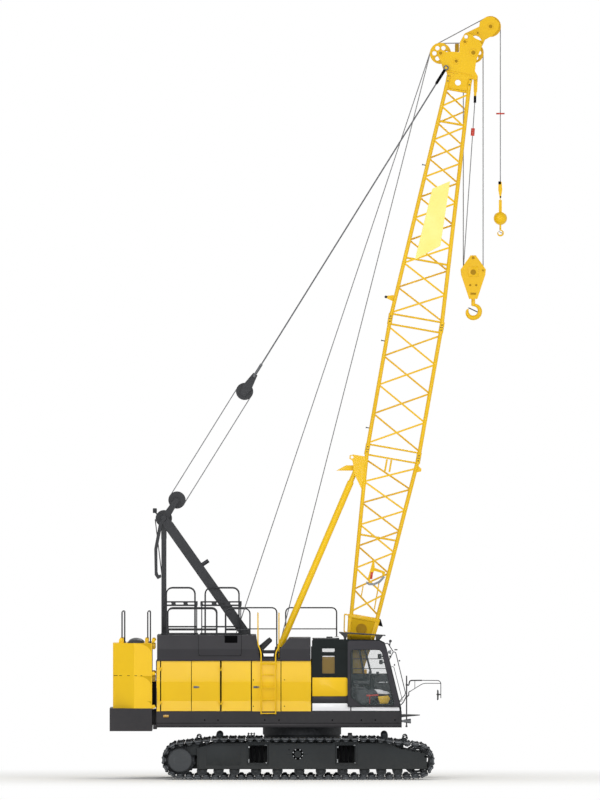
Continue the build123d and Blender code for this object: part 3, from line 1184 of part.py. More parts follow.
def make_dead_end():
    """Link and wedge socket that hang from the head."""
    y = DEAD_END_Y
    pin = axle(DEAD_END, 22, -HEAD_IN + TOUCH, y + 30)
    link = flat([(3960, 16220), (4060, 16220), (4045, 15850), (3965, 15850)], y - 25, y + 25)
    socket = flat([(3970, 15852), (4035, 15852), (4012, 15604), (3968, 15604)], y - 30, y + 30)
    return join([pin, link, socket])


def make_main_falls():
    """Four parts of the main hoist rope, down to the hook block."""
    falls = []
    for turn, y in ((1, -SHEAVE_Y), (1, SHEAVE_Y), (-1, SHEAVE_Y)):
        x = MAIN[0] + turn * MAIN_R
        falls.append(bar((x, y, MAIN[1]), (x, y, BLOCK_WIDE_Z), ROPE_R))
    rope = bar(DEAD_ROPE_TOP, DEAD_ROPE_END, ROPE_R)
    x, y, top = DEAD_ROPE_TOP
    falls.append(rope.cut(block((x - 50, x + 50), (y - 50, y + 50), (top - TOUCH, top + 50))))
    return falls


def make_limit_weight():
    """Red weight of the hoist limiter on the dead-end rope."""
    top, end = Vector(*DEAD_ROPE_TOP) - Vector(0, 0, TOUCH), Vector(*DEAD_ROPE_END)
    along = (end - top).normalized()
    start = top + along * 590
    return bar(start, start + along * 177, 44).cut(bar(start - along, start + along * 178, ROPE_R + TOUCH))


def make_hook_block():
    """Cheeks, two sheaves and the crosshead of the main hook block."""
    centre = MAIN[0]
    outline = [(centre - 60, BLOCK_TOP), (centre + 60, BLOCK_TOP), (centre + 293, BLOCK_WIDE_Z + 60),
               (centre + 280, BLOCK_WIDE_Z - 60), (centre + 95, BLOCK_BOTTOM), (centre - 95, BLOCK_BOTTOM),
               (centre - 280, BLOCK_WIDE_Z - 60), (centre - 293, BLOCK_WIDE_Z + 60)]
    pieces = [flat(outline, side * 120, side * 150) for side in (-1, 1)]
    pin = (centre, BLOCK_WIDE_Z)
    pieces.append(axle(pin, 50, -150, 150))
    for y in (-SHEAVE_Y, SHEAVE_Y):
        pieces.append(sheave(pin, MAIN_R, y))
    crosshead = block((centre - 90, centre + 90), (-121, 121), (BLOCK_BOTTOM + 10, BLOCK_BOTTOM + 130))
    bore = Pos(centre, 0, BLOCK_BOTTOM) * Solid.make_cylinder(45 + TURN, 200)
    return join(pieces + [crosshead]).cut(bore)


HOOK_SHARES = ((100, 0.62), (50, 0.8), (0, 1.0), (-60, 1.12), (-120, 1.05), (-170, 0.75), (-200, 0.4))


def hook(x, shank_top, centre_z, shank_r, outer_r, throat_r):
    """Hook on a shank: a round section bent round the throat, thickest at the bottom."""
    thick = (outer_r - throat_r) / 2
    bend = throat_r + thick
    sections = []
    for degrees, share in HOOK_SHARES:
        angle = math.radians(degrees)
        outward = Vector(math.cos(angle), 0, math.sin(angle))
        middle = Vector(x, 0, centre_z) + outward * (throat_r + thick * share)
        tangent = Vector(-outward.Z, 0, outward.X)
        sections.append(Wire.make_circle(thick * share, Plane(middle, x_dir=outward, z_dir=tangent)))
    bow = Solid.make_loft(sections)
    shank = bar((x, 0, centre_z + throat_r + thick * 0.3), (x, 0, shank_top), shank_r)
    shoulder = Pos(x, 0, centre_z + bend) * Solid.make_sphere(thick * 0.8)
    return join([bow, shank, shoulder])


def make_main_hook():
    x = MAIN[0]
    piece = hook(x, BLOCK_BOTTOM + 140, MAIN_HOOK_Z, 45, 205, 105)
    nut = bar((x, 0, BLOCK_BOTTOM + 130 + TURN), (x, 0, BLOCK_BOTTOM + 190), 70)
    return join([piece, nut])


def make_ball():
    """Ball weight with its rope socket and swivel, bored for the second hook's shank."""
    x = SECOND_X
    top = SOCKET_TOP
    socket = flat([(x - 45, top), (x + 30, top), (x + 45, top - 180), (x, top - 450), (x - 50, top - 180)],
                  -35, 35)
    link = block((x - 35, x + 35), (-30, 30), (BALL_Z + BALL_R - 30, top - 417))
    ball = Pos(x, 0, BALL_Z) * Solid.make_sphere(BALL_R)
    bore = bar((x, 0, BALL_Z - 10), (x, 0, BALL_Z - BALL_R - 20), 22 + TURN)
    return join([socket, link, ball]).cut(bore)


def make_second_hook():
    x = SECOND_X
    return hook(x, BALL_Z - 20, SECOND_HOOK_Z, 22, 82, 46)


def make_second_fall():
    x = SECOND_X
    return bar((x, 0, NOSE[1]), (x, 0, SOCKET_TOP), ROPE_R)


def make_limit_ring():
    x = SECOND_X
    low, high = LIMIT_RING_Z
    ring = bar((x, 0, low), (x, 0, high), 100)
    return ring.cut(bar((x, 0, low - 1), (x, 0, high + 1), ROPE_R + TOUCH))


# ====================================================================== output
def main():
    os.makedirs("parts", exist_ok=True)
    save("carbody", [make_carbody()])
    save("slewing_ring", [make_slewing_ring()])
    save("jack_cylinders", make_jacks())
    for name, side in (("right", -1), ("left", 1)):
        save(f"track_{name}", [make_track(side)])
        save(f"side_frame_{name}", [make_side_frame(side)])
    save("track_rollers", make_rollers(-1) + make_rollers(1))
    save("drive_sprockets", [make_sprocket(-1), make_sprocket(1)])
    save("idlers", [make_idler(-1), make_idler(1)])

    tray, layers, mount = make_counterweight()
    save("revolving_frame", [make_revolving_frame()])
    save("counterweight_tray", [tray])
    save("counterweight_blocks", [join(layers + [mount])])
    engine_y = (CHANNEL + 120, HALF_WIDTH - 160)
    save("engine", [block((-2700, -1300), engine_y, (HOUSE_FLOOR + HOUSE_WALL, 2550))])
    for name, side in (("right", -1), ("left", 1)):
        save(f"house_{name}", [make_house(side)])
        save(f"hood_{name}", [make_hood(side)])
        for index, door in enumerate(DOORS, 1):
            save(f"house_door_{name}_{index}", [make_leaf(side, door)])
    save("gantry_mast", [make_gantry()])
    save("gantry_links", make_links())
    save("winch_drums", make_drums())
    save("main_hoist_rope", [make_hoist_rope(DRUMS[0], -SHEAVE_Y)])
    save("second_hoist_rope", [make_hoist_rope(DRUMS[1], SHEAVE_Y)])
    save("boarding_ladder", [make_ladder()])
    save("handrails", make_handrails())
    save("cab", [make_cab()])
    save("cab_glass", make_cab_glass())
    save("cab_seat", make_seat())
    save("cab_rails", make_mirrors())
    save("fuel_tank", [make_tank()])
    leaf, pane = make_cab_door()
    save("cab_door", [leaf])
    save("cab_door_glass", [pane])

    save("boom_base", [make_boom_base()])
    save("boom_insert", [make_boom_insert()])
    save("boom_tip", [make_boom_tip()])
    save("boom_sign", make_sign())
    save("boom_head", [make_head()])
    save("nose_arm", [make_nose()])
    save("head_sheaves", make_head_sheaves())
    tubes, rods = make_backstops()
    save("backstop_tubes", tubes)
    save("backstop_rods", rods)
    save("spreader", [make_spreader()])
    save("luffing_ropes", make_luffing_ropes())
    save("bridle", [make_bridle()])
    save("boom_stays", make_stays())

    save("dead_end_link", [make_dead_end()])
    save("main_falls", make_main_falls())
    save("limit_weight", [make_limit_weight()])
    save("hook_block", [make_hook_block()])
    save("main_hook", [make_main_hook()])
    save("second_fall", [make_second_fall()])
    save("limit_ring", [make_limit_ring()])
    save("ball_weight", [make_ball()])
    save("second_hook", [make_second_hook()])


main()
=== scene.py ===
import math

import bpy
from mathutils import Matrix, Vector


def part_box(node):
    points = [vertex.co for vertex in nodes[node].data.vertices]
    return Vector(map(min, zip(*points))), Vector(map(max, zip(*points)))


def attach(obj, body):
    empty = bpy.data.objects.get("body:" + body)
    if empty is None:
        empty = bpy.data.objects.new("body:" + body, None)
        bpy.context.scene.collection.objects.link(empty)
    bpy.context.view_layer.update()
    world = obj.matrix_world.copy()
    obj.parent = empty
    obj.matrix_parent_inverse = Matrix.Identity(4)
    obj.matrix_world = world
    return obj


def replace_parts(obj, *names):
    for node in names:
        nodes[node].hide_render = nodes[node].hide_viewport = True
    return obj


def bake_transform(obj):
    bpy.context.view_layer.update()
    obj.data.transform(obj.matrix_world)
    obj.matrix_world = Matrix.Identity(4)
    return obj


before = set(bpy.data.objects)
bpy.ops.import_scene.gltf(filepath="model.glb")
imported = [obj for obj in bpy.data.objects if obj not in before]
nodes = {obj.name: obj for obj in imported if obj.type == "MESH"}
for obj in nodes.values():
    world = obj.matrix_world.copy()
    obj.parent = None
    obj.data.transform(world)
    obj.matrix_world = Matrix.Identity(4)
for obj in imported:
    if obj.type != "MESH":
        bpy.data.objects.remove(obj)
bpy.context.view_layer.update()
mm = 0.001
flanks = ((-1, "right"), (1, "left"))
print("stage: frame loaded,", len(nodes), "nodes")


# colours and nodes

def hexColour(text):
    # sRGB hex to the linear values that a shader wants
    channels = [int(text[i:i + 2], 16) / 255 for i in (1, 3, 5)]
    linear = [c / 12.92 if c <= 0.04045 else ((c + 0.055) / 1.055) ** 2.4 for c in channels]
    return (*linear, 1.0)


def addNode(tree, kind, settings=None, links=None):
    # settings: attribute or input name to value; links: input name or number to an output socket
    node = tree.nodes.new(kind)
    for key, value in (settings or {}).items():
        if hasattr(node, key) and not key[0].isupper():
            setattr(node, key, value)
        else:
            node.inputs[key].default_value = value
    for key, socket in (links or {}).items():
        tree.links.new(socket, node.inputs[key])
    return node


def clearTree(owner):
    owner.use_nodes = True
    owner.node_tree.nodes.clear()
    return owner.node_tree


def startMaterial(name):
    material = bpy.data.materials.new(name)
    tree = clearTree(material)
    shader = addNode(tree, "ShaderNodeBsdfPrincipled")
    output = addNode(tree, "ShaderNodeOutputMaterial")
    tree.links.new(shader.outputs["BSDF"], output.inputs["Surface"])
    place = addNode(tree, "ShaderNodeTexCoord").outputs["Object"]
    return material, tree, shader, place


def colourRamp(tree, factor, stops):
    ramp = addNode(tree, "ShaderNodeValToRGB", links={"Fac": factor})
    elements = ramp.color_ramp.elements
    while len(elements) < len(stops):
        elements.new(0.5)
    for element, (position, colour) in zip(elements, stops):
        element.position = position
        element.color = hexColour(colour)
    return ramp.outputs["Color"]


# finishes

def bumpFrom(tree, shader, height, strength, distance):
    bump = addNode(tree, "ShaderNodeBump", {"Strength": strength, "Distance": distance}, {"Height": height})
    tree.links.new(bump.outputs["Normal"], shader.inputs["Normal"])


def noiseFrom(tree, place, sizeMm, detail):
    settings = {"Scale": 1000 / sizeMm, "Detail": detail}
    return addNode(tree, "ShaderNodeTexNoise", settings, {"Vector": place}).outputs["Fac"]


def roughFrom(tree, shader, value, low, high):
    rough = addNode(tree, "ShaderNodeMapRange", {"To Min": low, "To Max": high}, {"Value": value})
    tree.links.new(rough.outputs["Result"], shader.inputs["Roughness"])


def setInputs(shader, values):
    for key, value in values.items():
        shader.inputs[key].default_value = value


def enamelPaint(name, look):
    # sprayed two-pack enamel on steel: even colour, clear reflections, a faint orange peel
    look = {**plainPaint, **look}
    material, tree, shader, place = startMaterial(name)
    drift = noiseFrom(tree, place, look["driftMm"], 3.0)
    tone = colourRamp(tree, drift, [(0.3, look["shade"]), (0.7, look["colour"])])
    # road dust lies thinly near the ground and fades out upwards
    height = addNode(tree, "ShaderNodeSeparateXYZ", links={"Vector": place}).outputs["Z"]
    low = addNode(tree, "ShaderNodeMapRange", {"From Min": 0.0, "From Max": look["dustTop"] * mm,
                                               "To Min": look["dust"], "To Max": 0.0}, {"Value": height})
    patches = noiseFrom(tree, place, 90, 6.0)
    amount = addNode(tree, "ShaderNodeMath", {"operation": "MULTIPLY"}, {0: low.outputs["Result"], 1: patches})
    mixed = addNode(tree, "ShaderNodeMix", {"data_type": "RGBA"}, {0: amount.outputs[0], 6: tone})
    mixed.inputs[7].default_value = hexColour("#8A8478")
    tree.links.new(mixed.outputs[2], shader.inputs["Base Color"])
    roughFrom(tree, shader, patches, look["roughness"] - 0.06, look["roughness"] + 0.06)
    bumpFrom(tree, shader, noiseFrom(tree, place, 14, 2.0), 0.05, 0.0006)
    setInputs(shader, {"IOR": 1.5, "Specular IOR Level": look["gloss"], "Coat Weight": look["coat"],
                       "Coat Roughness": 0.12})
    return material


def castSteel(name, look):
    # rolled and cast track steel: a dark rough skin, rubbed brighter in patches
    material, tree, shader, place = startMaterial(name)
    grain, rub = noiseFrom(tree, place, 9, 6.0), noiseFrom(tree, place, 120, 4.0)
    tone = colourRamp(tree, rub, [(0.35, look["shade"]), (0.6, look["colour"]), (0.78, look["rubbed"])])
    tree.links.new(tone, shader.inputs["Base Color"])
    roughFrom(tree, shader, rub, 0.42, 0.72)
    bumpFrom(tree, shader, grain, 0.25, 0.002)
    setInputs(shader, {"Metallic": look["metallic"]})
    return material


def wireRope(name, look):
    # greased steel wire rope: six strands laid round a core, drawn as slanting ridges
    material, tree, shader, place = startMaterial(name)
    turned = addNode(tree, "ShaderNodeMapping", {"Rotation": (0.6, 0.9, 0.0)}, {"Vector": place})
    strands = addNode(tree, "ShaderNodeTexWave", {"Scale": 1000 / look["layMm"], "Distortion": 0.0,
                                                  "wave_profile": "SIN"}, {"Vector": turned.outputs["Vector"]})
    tone = colourRamp(tree, strands.outputs["Fac"], [(0.15, look["shade"]), (0.75, look["colour"])])
    tree.links.new(tone, shader.inputs["Base Color"])
    bumpFrom(tree, shader, strands.outputs["Fac"], 0.7, 0.003)
    setInputs(shader, {"Metallic": 0.7, "Roughness": 0.42})
    return material


def cabGlass(name, look):
    # laminated safety glass, seen straight through: its cover is the share of the view that it hides
    material, tree, shader, place = startMaterial(name)
    roughFrom(tree, shader, noiseFrom(tree, place, 260, 2.0), 0.0, 0.05)
    setInputs(shader, {"Base Color": hexColour(look["colour"]), "Alpha": look["cover"]})
    return material


def mouldedPart(name, look):
    # moulded rubber or ABS: matt, with a fine leathery grain
    material, tree, shader, place = startMaterial(name)
    cells = addNode(tree, "ShaderNodeTexVoronoi", {"Scale": 1000 / look["grainMm"]}, {"Vector": place})
    grain = cells.outputs["Distance"]
    tone = colourRamp(tree, grain, [(0.0, look["shade"]), (0.6, look["colour"])])
    tree.links.new(tone, shader.inputs["Base Color"])
    bumpFrom(tree, shader, grain, 0.2, 0.0008)
    setInputs(shader, {"Roughness": look["roughness"], "Specular IOR Level": look["gloss"]})
    return material


def lampLens(name, look):
    # ribbed acrylic lens, coloured right through
    material, tree, shader, place = startMaterial(name)
    ribs = addNode(tree, "ShaderNodeTexWave", {"Scale": 1000 / 12, "bands_direction": "Z"}, {"Vector": place})
    tone = colourRamp(tree, ribs.outputs["Fac"], [(0.1, look["shade"]), (0.8, look["colour"])])
    tree.links.new(tone, shader.inputs["Base Color"])
    bumpFrom(tree, shader, ribs.outputs["Fac"], 0.4, 0.001)
    setInputs(shader, {"Roughness": 0.18, "Coat Weight": 0.6})
    return material


def seatCloth(name, look):
    # hard-wearing woven seat cloth, its threads 3 mm apart so that the weave shows
    material, tree, shader, place = startMaterial(name)
    weave = addNode(tree, "ShaderNodeMath", {"operation": "MULTIPLY"})
    for index, direction in enumerate("YX"):
        threads = addNode(tree, "ShaderNodeTexWave", {"Scale": 1000 / 19, "bands_direction": direction},
                          {"Vector": place})
        tree.links.new(threads.outputs["Fac"], weave.inputs[index])
    tone = colourRamp(tree, weave.outputs[0], [(0.0, look["shade"]), (0.7, look["colour"])])
    tree.links.new(tone, shader.inputs["Base Color"])
    bumpFrom(tree, shader, weave.outputs[0], 0.3, 0.001)
    setInputs(shader, {"Roughness": 0.9, "Sheen Weight": 0.3})
    return material


plainPaint = {"driftMm": 500, "roughness": 0.4, "coat": 0.0, "gloss": 0.25, "dust": 0.0, "dustTop": 1500}
paints = {
    "craneYellow": {"colour": "#EEC103", "shade": "#E8BA02", "driftMm": 900, "roughness": 0.36, "coat": 0.1},
    "boomYellow": {"colour": "#E6B903", "shade": "#DEAF02", "driftMm": 1200, "roughness": 0.36, "coat": 0.1},
    "hoodGrey": {"colour": "#2D2C30", "shade": "#28272B", "driftMm": 700, "roughness": 0.42, "coat": 0.04,
                 "gloss": 0.18, "dust": 0.12, "dustTop": 2200},
    "gantryGrey": {"colour": "#2F3033", "shade": "#2A2B2E", "driftMm": 600, "roughness": 0.45, "coat": 0.04,
                   "gloss": 0.18},
    "cabBlack": {"colour": "#161C1C", "shade": "#121818", "coat": 0.02, "gloss": 0.1},
    "doorGrey": {"colour": "#333237", "shade": "#2D2C31", "coat": 0.04, "gloss": 0.18},
    "lampGrey": {"colour": "#8B8F92", "shade": "#7C8083", "driftMm": 200, "coat": 0.1},
    "stripWhite": {"colour": "#F4F4F6", "shade": "#ECECEF", "roughness": 0.32, "coat": 0.3},
    "frameGrey": {"colour": "#212629", "shade": "#1C2023", "roughness": 0.55, "dust": 0.12, "dustTop": 900},
    # darker yellow used as painted shade: the lugs' shadows on the counterweight and the shade in the boom
    # foot's inset panels
    "paintedShadeYellow": {"colour": "#D2A806", "shade": "#CAA006", "driftMm": 900, "gloss": 0.1},
    "shadedYellow": {"colour": "#A88012", "shade": "#9C7610", "driftMm": 300, "gloss": 0.1},
    "markerRed": {"colour": "#BE2C14", "shade": "#AE2612", "driftMm": 300, "roughness": 0.3, "coat": 0.3},
    "signCream": {"colour": "#FBE88A", "shade": "#F8E27A", "driftMm": 400, "roughness": 0.35, "coat": 0.25},
}
steels = {
    "shoeSteel": {"colour": "#3C3F43", "shade": "#2C2E31", "rubbed": "#5A5D61", "metallic": 0.55},
    "wheelSteel": {"colour": "#44474B", "shade": "#35373A", "rubbed": "#6B6E72", "metallic": 0.45},
    "driveGrey": {"colour": "#3A3D40", "shade": "#333639", "rubbed": "#484B4E", "metallic": 0.3},
    "brightSteelAndLight": {"colour": "#A9ACAF", "shade": "#7C7F82", "rubbed": "#D0D2D4", "metallic": 0.2},
    # pale steel: the latches' own colour, and the painted highlight on the shoes' ends
    "paleSteelAndHighlight": {"colour": "#66696C", "shade": "#4C4F52", "rubbed": "#84878A", "metallic": 0.2},
}
ropeSteels = {
    "hoistRope": {"colour": "#8E8F91", "shade": "#4C4D4F", "layMm": 60},
    "pendantRope": {"colour": "#6E7073", "shade": "#38393B", "layMm": 90},
}
panes = {
    "cabGlass": {"colour": "#7F8A8C", "cover": 0.1},
    "tintedGlass": {"colour": "#7C642A", "cover": 0.85},
}
mouldings = {
    "blackRubber": {"colour": "#202123", "shade": "#151617", "grainMm": 7, "roughness": 0.7, "gloss": 0.4},
    "blackPlastic": {"colour": "#2A2B2D", "shade": "#202123", "grainMm": 4, "roughness": 0.5, "gloss": 0.4},
    "deepBlack": {"colour": "#0B0B0D", "shade": "#070708", "grainMm": 12, "roughness": 0.9, "gloss": 0.05},
}
lenses = {
    "amberLens": {"colour": "#C79A2B", "shade": "#A87B1C"},
    "clearLens": {"colour": "#F1F3F5", "shade": "#C9CDD1"},
}
cloths = {"seatCloth": {"colour": "#3A3C42", "shade": "#24262B"}}
slots = {  # finishes that always go with one of the model's own slots
    "hoistRope": "rope_steel", "paleSteelAndHighlight": "rope_steel", "brightSteelAndLight": "rope_steel",
    "frameGrey": "track_steel", "shoeSteel": "track_steel", "seatCloth": "seat_cloth",
    "gantryGrey": "dark_paint", "hoodGrey": "dark_paint", "lampGrey": "dark_paint", "deepBlack": "dark_paint",
    "blackRubber": "dark_paint", "blackPlastic": "dark_paint", "tintedGlass": "cab_glass",
}
finish = {}
for makeFinish, looks in ((enamelPaint, paints), (castSteel, steels), (wireRope, ropeSteels), (cabGlass, panes),
                          (mouldedPart, mouldings), (lampLens, lenses), (seatCloth, cloths)):
    finish.update({name: makeFinish(name, look) for name, look in looks.items()})
print("stage: finishes made,", len(finish))


# carried-over pieces

nodeFinish = {
    "frameGrey": ["carbody", "jack_cylinders", "side_frame_right", "side_frame_left"],
    "wheelSteel": ["slewing_ring", "drive_sprockets", "idlers"],
    "driveGrey": ["track_rollers"],
    "hoodGrey": ["revolving_frame", "counterweight_tray", "hood_right", "hood_left", "engine", "winch_drums"],
    "gantryGrey": ["gantry_mast", "gantry_links", "spreader", "bridle"],
    "craneYellow": ["counterweight_blocks", "house_right", "house_left", "fuel_tank", "backstop_tubes",
                    "house_door_right_1", "house_door_right_2", "house_door_right_3",
                    "house_door_left_1", "house_door_left_2", "house_door_left_3"],
    "boomYellow": ["boom_base", "boom_insert", "boom_tip", "boom_head", "nose_arm", "head_sheaves",
                   "hook_block", "main_hook", "ball_weight", "second_hook", "backstop_rods", "dead_end_link"],
    "signCream": ["boom_sign"],
    "cabBlack": ["cab"],
    "doorGrey": ["cab_door"],
    "cabGlass": ["cab_glass", "cab_door_glass"],
    "pendantRope": ["boom_stays"],
    "markerRed": ["limit_weight", "limit_ring"],
}
for finishName, names in nodeFinish.items():
    for name in names:
        mesh = nodes[name].data
        mesh.materials.clear()
        mesh.materials.append(finish[finishName])
print("stage: carried-over pieces finished")


# modelling helpers

def clearSelection():
    for item in bpy.context.selected_objects:
        item.select_set(False)
    bpy.context.view_layer.objects.active = None


def pickOnly(item):
    clearSelection()
    item.select_set(True)
    bpy.context.view_layer.objects.active = item


def settle(item):
    # its place goes into its mesh, so that the object sits at the origin
    pickOnly(item)
    bpy.ops.object.transform_apply(location=True, rotation=True, scale=True)
    return item


def joinPieces(items, name):
    clearSelection()
    for item in items:
        item.select_set(True)
    bpy.context.view_layer.objects.active = items[0]
    if len(items) > 1:
        bpy.ops.object.join()
    joined = bpy.context.view_layer.objects.active
    joined.name = name
    joined.data.name = name
    return joined


def addPiece(items, name, finishName, body="superstructure", smoothAngle=35, slot=None):
    # joins, paints and smooths a finished piece, then hangs it on its body if it has only one
    piece = joinPieces(items, name)
    settle(piece)
    bpy.ops.object.shade_smooth_by_angle(angle=math.radians(smoothAngle))
    piece.data.materials.clear()
    piece.data.materials.append(finish[finishName])
    if body:
        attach(piece, body)
    slot = slot or slots.get(finishName)
    return piece


def applyModifier(item, kind, settings):
    pickOnly(item)
    modifier = item.modifiers.new(kind, kind)
    for key, value in settings.items():
        setattr(modifier, key, value)
    bpy.ops.object.modifier_apply(modifier=modifier.name)
    return item


def bevelEdges(item, width):
    return applyModifier(item, "BEVEL", {"width": width * mm, "segments": 2, "limit_method": "ANGLE",
                                         "angle_limit": math.radians(40)})


def roundBar(start, end, radius, sides=12, endRadius=None):
    # primitive cylinder laid from one point to another, all in mm
    start, end = Vector(start) * mm, Vector(end) * mm
    line = end - start
    clearSelection()
    bpy.ops.mesh.primitive_cone_add(vertices=sides, radius1=radius * mm, radius2=(endRadius or radius) * mm,
                                    depth=line.length, location=(start + end) / 2,
                                    rotation=line.to_track_quat("Z", "Y").to_euler())
    return bpy.context.object


def cutBlock(xs, ys, zs, bevel=6):
    # primitive cube sized to three spans, its edges broken
    spans = [sorted(pair) for pair in (xs, ys, zs)]
    clearSelection()
    bpy.ops.mesh.primitive_cube_add(size=1, location=[sum(pair) / 2 * mm for pair in spans],
                                    scale=[(high - low) * mm for low, high in spans])
    item = settle(bpy.context.object)
    return bevelEdges(item, bevel) if bevel else item


def cutPlate(outline, yFrom, yTo, bevel=4):
    # burnt plate: a filled circle's rim is set to the outline, then extruded through its thickness
    clearSelection()
    bpy.ops.mesh.primitive_circle_add(vertices=len(outline), fill_type="NGON")
    item = bpy.context.object
    for vertex, (x, z) in zip(item.data.vertices, outline):
        vertex.co = (x * mm, yFrom * mm, z * mm)
    bpy.ops.object.mode_set(mode="EDIT")
    bpy.ops.mesh.select_all(action="SELECT")
    bpy.ops.mesh.extrude_region_move(TRANSFORM_OT_translate={"value": (0, (yTo - yFrom) * mm, 0)})
    bpy.ops.mesh.select_all(action="SELECT")
    bpy.ops.mesh.normals_make_consistent(inside=False)
    bpy.ops.object.mode_set(mode="OBJECT")
    return bevelEdges(item, bevel) if bevel else item


def bentTube(points, radius, bend=60, sides=10):
    # a path of straight runs whose corners are rounded by the bevel operator's own arcs
    curve = bpy.data.curves.new("tube", "CURVE")
    curve.dimensions = "3D"
    curve.bevel_depth = radius * mm
    curve.bevel_resolution = max(1, sides // 4)
    curve.use_fill_caps = True
    spline = curve.splines.new("BEZIER")
    points = [Vector(point) * mm for point in points]
    stations = [(points[0], None)]
    for before, corner, after in zip(points, points[1:], points[2:]):
        reach = min(bend * mm, (before - corner).length * 0.45, (after - corner).length * 0.45)
        stations.append((corner + (before - corner).normalized() * reach, corner))
        stations.append((corner + (after - corner).normalized() * reach, corner))
    stations.append((points[-1], None))
    spline.bezier_points.add(len(stations) - 1)
    for point, (place, _) in zip(spline.bezier_points, stations):
        point.co = place
        point.handle_left_type = point.handle_right_type = "VECTOR"
    spline.resolution_u = 4
    for index, (place, corner) in enumerate(stations):
        if corner is None:
            continue
        point = spline.bezier_points[index]
        point.handle_left_type = point.handle_right_type = "FREE"
        inward = place + (corner - place) * 0.55
        towards = index % 2 == 1  # the first of the pair bends ahead, the second behind
        point.handle_right = inward if towards else place + (place - corner) * 0.3
        point.handle_left = place + (place - corner) * 0.3 if towards else inward
    item = bpy.data.objects.new("tube", curve)
    bpy.context.scene.collection.objects.link(item)
    pickOnly(item)
    bpy.ops.object.convert(target="MESH")
    return bpy.context.object


def bar(x, y, z, radius, sides=12, endRadius=None):
    # a round bar whose coordinates are single values, or pairs that run from one end to the other
    spans = [value if isinstance(value, tuple) else (value, value) for value in (x, y, z)]
    start, end = zip(*spans)
    return roundBar(start, end, radius, sides, endRadius)


def faceOutwards(item):
    pickOnly(item)
    bpy.ops.object.mode_set(mode="EDIT")
    bpy.ops.mesh.select_all(action="SELECT")
    bpy.ops.mesh.normals_make_consistent(inside=False)
    bpy.ops.object.mode_set(mode="OBJECT")
    return item


def copyOf(item):
    # each copy has its own mesh
    twin = item.copy()
    twin.data = item.data.copy()
    bpy.context.scene.collection.objects.link(twin)
    return twin


def boxOf(node):
    # a node's two corners in mm
    return [Vector(corner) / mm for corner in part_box(node)]


# crawler tracks

track = {
    "gauge": 4050, "shoeWidth": 850, "count": 66, "plate": 30, "web": 12,
    "wheels": [  # x, z, radius, in the order that the shoes pass
        (-2303, 205.3, 120), (2199, 205.3, 120), (2650, 425, 320), (1700, 794.7, 90), (-1950, 794.7, 90),
        (-2813, 445, 335)],
    "linkDepth": 40, "linkOffset": 95, "lugDepth": 62, "lugOffset": 332,
}


def trackStations(reach):
    # places and directions a shoe's pitch apart, on tangents and arcs round the wheels
    wheels = track["wheels"]
    normals = []
    for (x, z, r), (nextX, nextZ, nextR) in zip(wheels, wheels[1:] + wheels[:1]):
        along = math.atan2(nextZ - z, nextX - x)
        normals.append(along - math.pi / 2 + math.asin((r - nextR) / math.hypot(nextX - x, nextZ - z)))
    runs = []
    for index, (x, z, r) in enumerate(wheels):
        following = (index + 1) % len(wheels)
        leave, arrive = normals[index], normals[following]
        nextX, nextZ, nextR = wheels[following]
        start = (x + (r + reach) * math.cos(leave), z + (r + reach) * math.sin(leave))
        end = (nextX + (nextR + reach) * math.cos(leave), nextZ + (nextR + reach) * math.sin(leave))
        runs.append(("line", math.dist(start, end), start, leave))
        turn = (arrive - leave) % math.tau
        runs.append(("arc", turn * (nextR + reach), (nextX, nextZ, nextR + reach), leave))
    total = sum(run[1] for run in runs)
    stations = []
    for index in range(track["count"]):
        left = (index + 0.5) * total / track["count"]
        for kind, length, place, angle in runs:
            if left <= length:
                break
            left -= length
        if kind == "line":
            along = angle + math.pi / 2
            stations.append((place[0] + left * math.cos(along), place[1] + left * math.sin(along), angle))
        else:
            swept = angle + left / place[2]
            stations.append((place[0] + place[2] * math.cos(swept), place[1] + place[2] * math.sin(swept),
                             swept))
    return stations, total / track["count"]


def makeShoe(pitch):
    # one shoe with its link pair, lying at the origin with its ground side down
    half, depth = pitch / 2, track["plate"]
    wide = track["shoeWidth"] / 2
    profile = [(-half + 5, 0), (-half + 5, -depth + 8), (-half + 24, -depth),
               (-half + 34, -depth - track["web"]), (-half + 54, -depth - track["web"]), (-half + 64, -depth),
               (half - 64, -depth), (half - 54, -depth - track["web"]), (half - 34, -depth - track["web"]),
               (half - 24, -depth), (half - 7, -depth + 8), (half - 7, 0)]
    pieces = [cutPlate(profile, -wide, wide, bevel=0)]
    deep, lugDeep = track["linkDepth"], track["lugDepth"]
    for side in (-1, 1):
        y = side * track["linkOffset"]
        link = [(-half + 16, 0), (-half + 16, 22), (-half + 34, deep - 2), (half - 70, deep - 2),
                (half - 52, 22), (half + 6, 22), (half + 6, 0)]
        pieces.append(cutPlate(link, y - 40, y + 40, bevel=3))
        for reach in (-60, 55):
            pieces.append(bar(reach, y, (-depth + 2, 14), 11, 6))
        lug = [(-66, -2), (-58, lugDeep - 26), (-34, lugDeep), (30, lugDeep), (54, lugDeep - 26), (66, -2)]
        y = side * track["lugOffset"]
        pieces.append(cutPlate(lug, y - 38, y + 38, bevel=6))
    return joinPieces(pieces, "shoe")


def makeShoeHighlights(pitch):
    # the strips along a shoe's ends, in pale steel as a painted highlight where the edge catches the light from
    # above, and a bolt in each lug
    wide = track["shoeWidth"] / 2
    strips = []
    for side in (-1, 1):
        y = side * wide
        # painted highlight: a pale strip along the top of each shoe end
        strips.append(cutBlock((-pitch / 2 + 30, pitch / 2 - 34), (y - side * 40, y + side * 1), (-13, 3), 3))
        lugY = side * (track["lugOffset"] + 38)
        strips.append(bar(0, (lugY - side * 6, lugY + side * 7), 44, 12, 6))
    return joinPieces(strips, "shoeWear")


